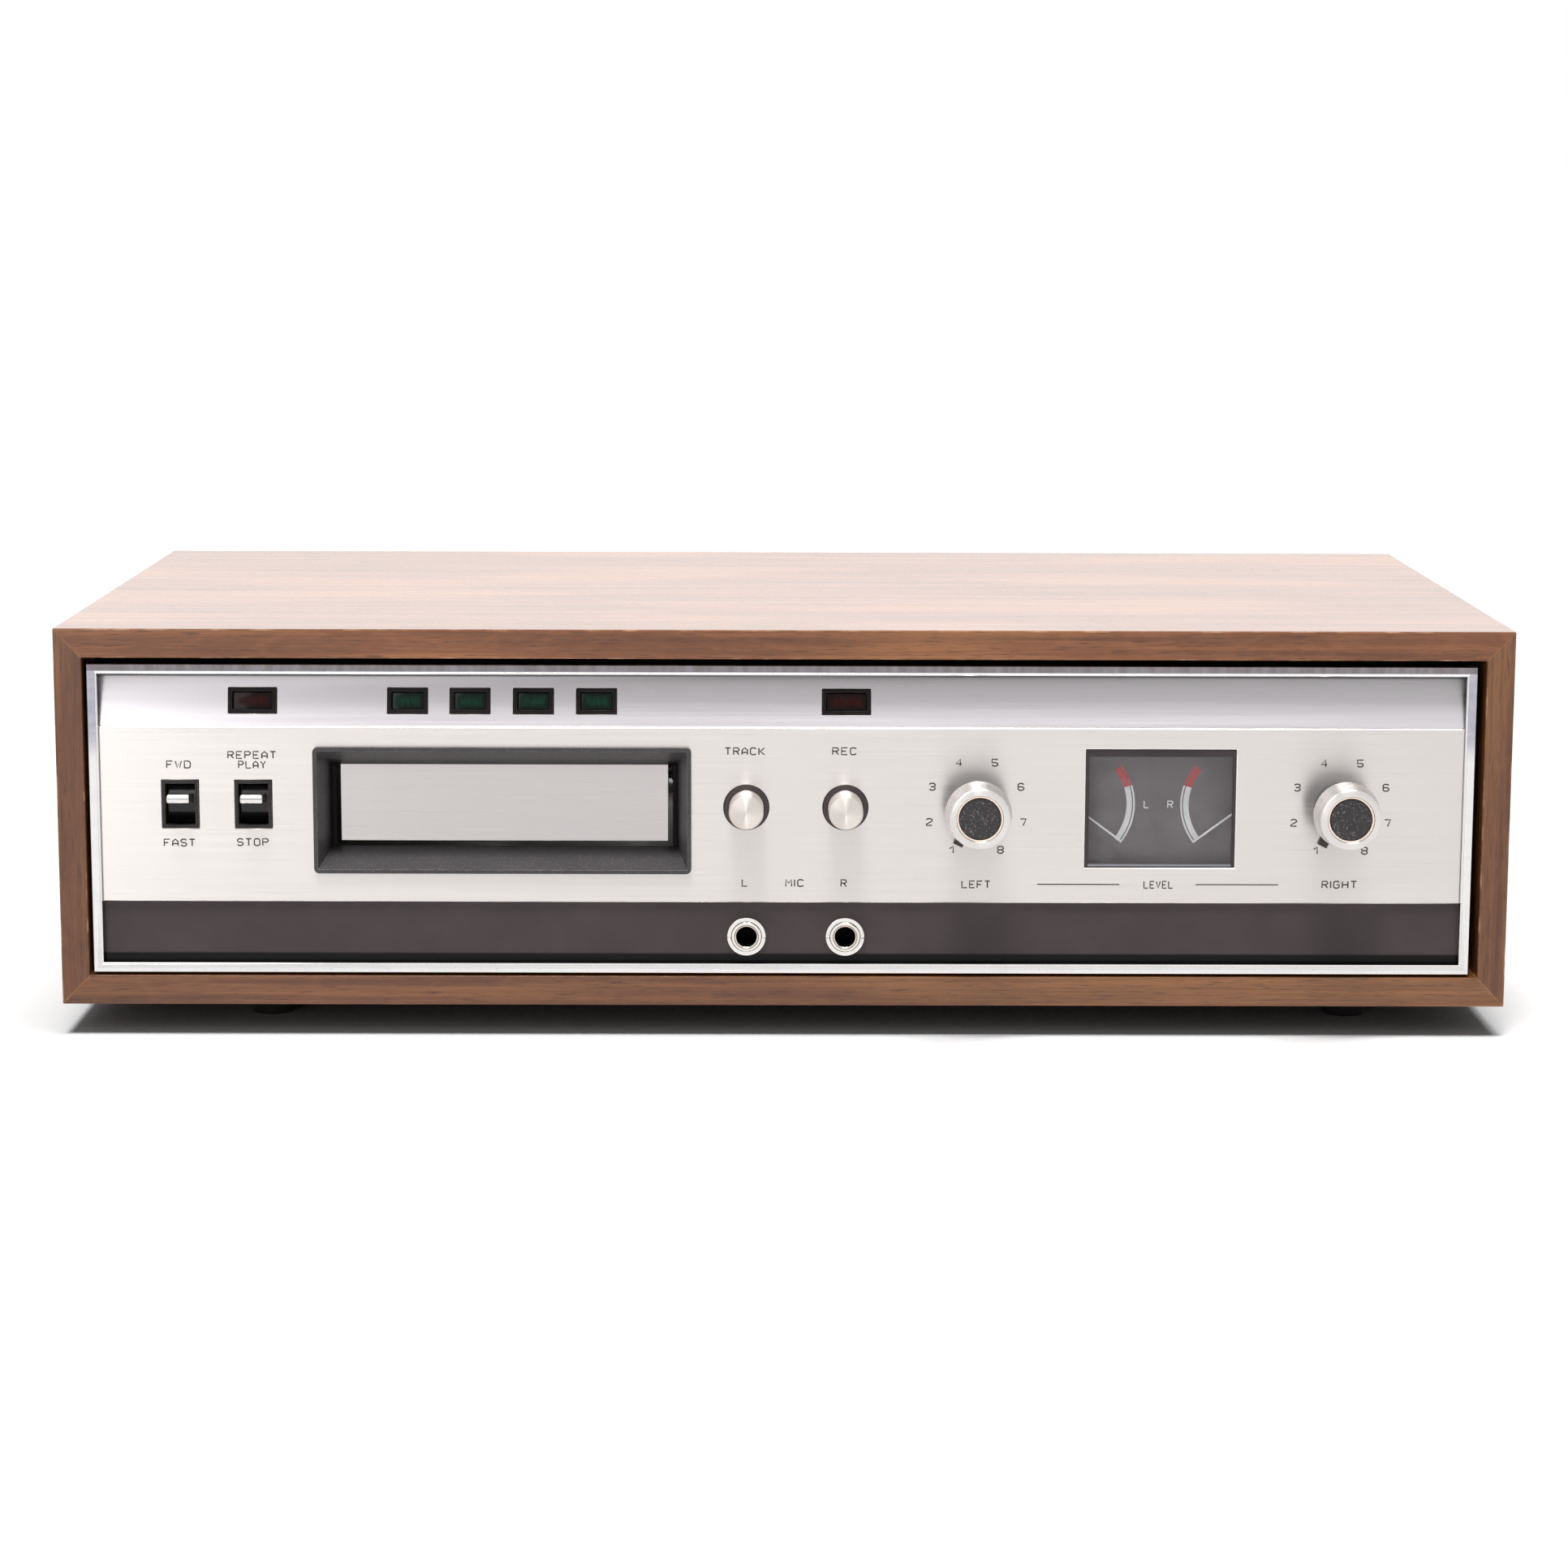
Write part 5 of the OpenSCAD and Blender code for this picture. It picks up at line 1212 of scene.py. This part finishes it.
class RECORDER_OT_knobs(bpy.types.Operator):
    """Builds the two record level knobs with their textured caps"""

    bl_idname = "recorder.knobs"
    bl_label = "Level knobs"

    def execute(self, context):
        settings = context.scene.recorder_front
        metals = [
            turned_aluminium("turned aluminium, knobs", settings.metal, 0.24, 0.34),
            turned_aluminium("turned aluminium, lacquered groove", "#fbe6d4", 0.2, 0.3),
            # The skirt is dark grey: painted shade under the knob's waist, which also darkens its
            # reflection in the panel
            moulded_plastic("knob skirt, dark grey as painted shade", "#3d3b40", roughness=0.4, level=0.3),
        ]
        grained = moulded_plastic(
            "grained black vinyl cap",
            "#221e20",
            roughness=0.42,
            rub="#6a6262",
            texture=0.6,
            depth=0.16,
            specks=0.55,
        )
        tab = plated_sheet("blackened index plate", "#4a4745", 0.4)
        for side in ("left", "right"):
            self.knob(settings, side, metals)
            self.cap(side, grained)
            repaint(tab, side + "_pot_shaft")
        return {"FINISHED"}

    def knob(self, settings, side, metals):
        """A cone with a groove round its cap, a waist and a narrower skirt behind it."""
        node = side + "_knob"
        x, z = middle(node)
        front, back = front_of(node), back_of(node)
        waist, rim = settings.knob_waist / 2, settings.knob_rim / 2
        groove_in, groove_out, skirt, bore = 6.5, 7.05, 8.2, 3.05
        profile = [
            (front + 1.5, 0), (front + 1.5, groove_in), (front + 0.75, groove_in),
            (front + 0.75, 6.95), (front + 0.22, 7.0), (front + 0.02, 7.15), (front, 7.4),
            (front + 0.05, rim - 0.75), (front + 0.16, rim - 0.35), (front + 0.5, rim),
            (front + 8.8, waist), (front + 9.2, waist), (front + 9.6, waist - 0.35),
            (front + 9.6, skirt), (back - 0.3, skirt), (back, 7.9), (back, 5.6), (back - 3, 5.5),
            (back - 3, bore), (front + 6, bore), (front + 6, 0),
        ]
        bm = bmesh.new()
        turn_on_lathe(bm, profile, x, z, 128)
        axis, floor, neck = spot(x, 0, z), spot(0, front + 0.6, 0).y, spot(0, front + 9.3, 0).y
        for face in bm.faces:
            centre = face.calc_center_median()
            away = math.hypot(centre.x - axis.x, centre.z - axis.z) / MM
            # Faces behind the waist take the painted shade
            if centre.y > neck:
                face.material_index = 2
            elif centre.y > floor and groove_in < away < groove_out:
                face.material_index = 1
        finish(side + "_level_knob", bm, metals, side + "_level", node, (node,))

    def cap(self, side, material):
        """The dished cap in the knob's front."""
        node = side + "_knob_cap"
        front = front_of(side + "_knob")
        profile = [
            (front + 0.62, 0), (front + 0.56, 3.2), (front + 0.52, 5.6), (front + 0.6, 6.1),
            (front + 0.9, 6.38), (front + 1.5, 6.4), (front + 1.5, 0),
        ]
        bm = bmesh.new()
        turn_on_lathe(bm, profile, *middle(side + "_knob"))
        finish(side + "_textured_cap", bm, material, side + "_level", node, (node,))


class RECORDER_OT_jacks(bpy.types.Operator):
    """Builds the microphone jacks, their slotted round nuts and their dark throats"""

    bl_idname = "recorder.jacks"
    bl_label = "Jacks"

    def execute(self, context):
        nickel = plated("nickel-plated brass", "#e3e0dc", 0.12, 0.2, spot_size=0.5)
        softened("slotted_nuts", "panel_nuts", 0.25, nickel)
        softened("microphone_jacks", "mic_jacks", 0.15, nickel, segments=1)
        brass = plated("worn brass lip", "#9c8270", 0.26, 0.2, spot_size=0.4)
        # Painted shade: the throats are lined near black, for the shade deep in each hole
        lining = moulded_plastic("black lining, painted shade in the jack holes", "#0b0909", roughness=0.6, level=0.2)
        front = front_of("mic_jacks")
        lip = [
            (front + 0.1, 3.9), (front - 0.05, 3.8), (front - 0.05, 3.55), (front + 0.35, 3.19),
            (front + 1.4, 3.19), (front + 1.4, 3.3), (front + 0.3, 3.9),
        ]
        throat = [
            (front + 1.4, 3.19), (front + 1.4, THROAT_RADIUS),
            (front + THROAT_DEPTH, THROAT_RADIUS), (front + THROAT_DEPTH, 0),
        ]
        rings, throats = bmesh.new(), bmesh.new()
        for low, high in solids_of("panel_nuts"):
            x, z = between(low, high)
            part = bmesh.new()
            turn_on_lathe(part, lip, x, z, 64, closed=True)
            join(rings, part)
            part = bmesh.new()
            turn_on_lathe(part, throat, x, z, 48)
            bmesh.ops.reverse_faces(part, faces=part.faces)
            join(throats, part)
        finish("jack_lips", rings, brass, "case", "mic_jacks")
        finish("jack_throats", throats, lining, "case", "mic_jacks")
        return {"FINISHED"}


class RECORDER_OT_meter(bpy.types.Operator):
    """Builds the twin level meter: dial, scales, needles and clear window"""

    bl_idname = "recorder.meter"
    bl_label = "Level meter"

    def execute(self, context):
        repaint(moulded_plastic("black meter case", "#1f1d1e", roughness=0.5), "meter_housing")
        repaint(stove_enamel("dark grey dial enamel", "#726c6d", roughness=0.7), "meter_dial")
        repaint(printed_ink("white needle lacquer", "#f0efec"), "left_needle", "right_needle")
        softened("meter_pane", "meter_window", 0.5, clear_acrylic("clear acrylic"), segments=1)
        self.scales()
        self.border()
        return {"FINISHED"}

    def scales(self):
        """White and red arcs round each needle's pivot, and a letter for each channel."""
        x, z = middle("meter_dial")
        depth = front_of("meter_dial") - DIAL_PRINT
        pale, hot = bmesh.new(), bmesh.new()
        for side in (-1, 1):
            for radii in SCALE_BANDS:
                for bm, start, end in (
                    (pale, SCALE_START, SCALE_RED),
                    (hot, SCALE_RED, SCALE_END),
                ):
                    angles = (180 - start, 180 - end) if side > 0 else (start, end)
                    arc_band(bm, x + side * PIVOT_OUT, z, radii, angles, depth)
        face_front(pale)
        face_front(hot)
        letter(pale, "L", x - 3.5, z, depth, 2.1, 1.3, 0.4)
        letter(pale, "R", x + 3.9, z, depth, 2.1, 1.5, 0.4)
        white = printed_ink("white dial print", "#fbfafc")
        red = printed_ink("red dial print", "#c9393b")
        finish("meter_scales", pale, white, "case", "meter_dial")
        finish("meter_red_arcs", hot, red, "case", "meter_dial")

    def border(self):
        """The window's black border, a painted shadow 2 mm deep under its top edge, and a painted
        highlight along the pane's foot.
        """
        x, z, wide, tall = front_face("meter_window")
        front = front_of("meter_window")
        outlines = [
            (wide, tall, front + 0.05),
            (wide - 0.2, tall - 0.2, front - 0.06),
            (wide - 2.0, tall - 0.8, front - 0.06),
            (wide - 2.2, tall - 1.0, front + 0.05),
        ]
        left, right = x - (wide / 2 - 0.8), x + (wide / 2 - 0.8)
        near, far = front - 0.055, front + 0.05
        head, foot = z + tall / 2, z - tall / 2 + 0.3
        bm = bmesh.new()
        hoops(bm, (x, z), outlines)
        # Painted shadow of the window's top edge on the dial
        bar(bm, (left, near, head - 2.2), (right, far, head - 0.3))
        black = moulded_plastic("dark window border and painted shadow", "#3f393b", roughness=0.5, level=0.15)
        finish("meter_border", bm, black, "case", "meter_window")
        bm = bmesh.new()
        # Painted highlight on the pane's lower edge
        bar(bm, (left, near, foot), (right, far, foot + 0.8))
        edge = moulded_plastic("lower edge of the pane, painted highlight", "#7f8088", roughness=0.2)
        finish("meter_pane_edge", bm, edge, "case", "meter_window")


class RECORDER_OT_legends(bpy.types.Operator):
    """Prints the dial numbers, the short function legends and the rules on the main panel"""

    bl_idname = "recorder.legends"
    bl_label = "Legends"

    def execute(self, context):
        settings = context.scene.recorder_front
        depth = front_of("front_panel") - PANEL_PRINT
        bm = bmesh.new()
        for words, x, z, width in LEGENDS:
            letter(bm, words, x, z, depth, settings.legend_height, width)
        away, tall = settings.numeral_radius, settings.numeral_height
        for side in ("left", "right"):
            x, z = middle(side + "_knob")
            for number in range(DIAL_NUMBERS):
                angle = math.radians(FIRST_NUMBER - number * NUMBER_SWEEP / (DIAL_NUMBERS - 1))
                across, up = away * math.cos(angle), away * math.sin(angle)
                width = 1.1 if number == 0 else 1.75
                letter(bm, str(number + 1), x + across, z + up, depth, tall, width)
        for left, right in RULES:
            bar(bm, (left, depth - 0.01, RULE_FOOT), (right, depth + 0.01, RULE_HEAD))
        ink = printed_ink("dark grey screen print", settings.ink)
        finish("panel_print", bm, ink, "case", "front_panel")
        return {"FINISHED"}


class RECORDER_OT_rear(bpy.types.Operator):
    """Finishes the rear panel, the line sockets, the grommet and the screws"""

    bl_idname = "recorder.rear"
    bl_label = "Rear"

    def execute(self, context):
        repaint(stove_enamel("dark grey stove enamel", "#4b4744"), "rear_panel")
        nickel = plated("nickel-plated sockets", "#cbc9c4", 0.2, 0.3)
        softened("line_sockets", "rca_jacks", 0.2, nickel)
        softened("rubber_grommet", "cord_grommet", 0.5, rubber("black rubber grommet", "#1b1918"))
        repaint(plated_sheet("zinc-plated screws", "#b7b6b1", 0.3, 2.0), "screws")
        self.recesses()
        bm = bmesh.new()
        behind = back_of("rear_panel") + PANEL_PRINT
        for words, x, z in REAR_LEGENDS:
            letter(bm, words, x, z, behind, 3.2, stroke=0.5, turn=math.pi)
        ink = printed_ink("pale grey rear print", "#c9c6bf")
        finish("rear_print", bm, ink, "case", "rear_panel")
        return {"FINISHED"}

    def recesses(self):
        """The driver's cross in the head of each screw of the rear panel."""
        bm = bmesh.new()
        for low, high in solids_of("screws"):
            if high.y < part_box("rear_panel")[1].y:
                continue
            x, z = between(low, high)
            back = (high.y - CABINET_FRONT) / MM
            half, arm = (high.x - low.x) / MM * 0.28, 0.45
            part = bmesh.new()
            bar(part, (x - half, back - 0.2, z - arm), (x + half, back + 0.02, z + arm))
            bar(part, (x - arm, back - 0.2, z - half), (x + arm, back + 0.03, z + half))
            join(bm, part)
        dark = moulded_plastic("shadow in the screw's cross", "#1a1918", roughness=0.8, level=0.1)
        finish("screw_crosses", bm, dark, "case", "screws")


class RECORDER_OT_works(bpy.types.Operator):
    """Finishes the chassis, the tape drive and the electronics inside the cabinet"""

    bl_idname = "recorder.works"
    bl_label = "Works"

    def execute(self, context):
        zinc = plated_sheet("zinc-plated steel sheet", "#c3c2bb")
        repaint(zinc, "chassis", "deck_plate", "head_carriage", "lock_arm")
        # Painted shade: the sub panel and the guides are made black so the gaps round the trim and
        # the flap read dark
        repaint(stove_enamel("matt black, painted shade in the gaps", "#121111", 0.8, 0.1), "sub_panel")
        guides = moulded_plastic("black guides, painted shade in the gaps", "#131212", roughness=0.6, level=0.1)
        repaint(guides, "guide_rails")
        steel = plated_sheet("bright turned steel", "#c9c8c3", 0.24, 3.0)
        repaint(steel, "standoffs", "solenoid_plunger", "flywheel")
        repaint(stove_enamel("grey hammered motor can", "#8b8d8c", 0.4), "motor")
        repaint(stove_enamel("varnished solenoid", "#6d6a52", 0.35), "solenoid")
        repaint(stove_enamel("varnished transformer", "#6a645a", 0.4), "transformer")
        repaint(plated_sheet("plated control body", "#aeada6", 0.34, 4.0), "level_pots")
        brass = plated_sheet("machined brass", "#c39f55", 0.26, 3.0)
        repaint(brass, "motor_pulley", "capstan_bearings")
        repaint(rubber("black neoprene belt", "#171616"), "drive_belt")
        repaint(plated("mumetal head shell", "#c6c7c7", 0.14, 0.2), "tape_head")
        acetal = moulded_plastic("white acetal", "#d9d5c8", 0.4, "#efece2", 0.5, 0.01)
        repaint(acetal, "program_cam")
        repaint(circuit_board("phenolic circuit board", "#94723f", "#ad884f"), "main_board")
        return {"FINISHED"}


STEPS = (
    RECORDER_OT_stage,
    RECORDER_OT_cabinet,
    RECORDER_OT_front,
    RECORDER_OT_slot,
    RECORDER_OT_lamps,
    RECORDER_OT_switches,
    RECORDER_OT_buttons,
    RECORDER_OT_knobs,
    RECORDER_OT_jacks,
    RECORDER_OT_meter,
    RECORDER_OT_legends,
    RECORDER_OT_rear,
    RECORDER_OT_works,
)
GROUPS = {
    "recorder_cabinet": RecorderCabinet,
    "recorder_front": RecorderFront,
    "recorder_stage": RecorderStage,
}


class RECORDER_PT_panel(bpy.types.Panel):
    """Lists the recorder's pieces and settings"""

    bl_idname = "RECORDER_PT_panel"
    bl_label = "Cartridge recorder"
    bl_space_type = "VIEW_3D"
    bl_region_type = "UI"
    bl_category = "Recorder"

    def draw(self, context):
        for step in STEPS:
            self.layout.operator(step.bl_idname)
        for name, group in GROUPS.items():
            box = self.layout.box()
            for key in group.__annotations__:
                box.prop(getattr(context.scene, name), key)


def register():
    for group in GROUPS.values():
        bpy.utils.register_class(group)
    for step in STEPS:
        bpy.utils.register_class(step)
    bpy.utils.register_class(RECORDER_PT_panel)
    for name, group in GROUPS.items():
        setattr(bpy.types.Scene, name, bpy.props.PointerProperty(type=group))


def unregister():
    for name in GROUPS:
        delattr(bpy.types.Scene, name)
    bpy.utils.unregister_class(RECORDER_PT_panel)
    for step in reversed(STEPS):
        bpy.utils.unregister_class(step)
    for group in GROUPS.values():
        bpy.utils.unregister_class(group)


def main():
    """Builds every piece."""
    register()
    for step in STEPS:
        group, name = step.bl_idname.split(".")
        getattr(getattr(bpy.ops, group), name)()


if __name__ == "__main__":
    main()
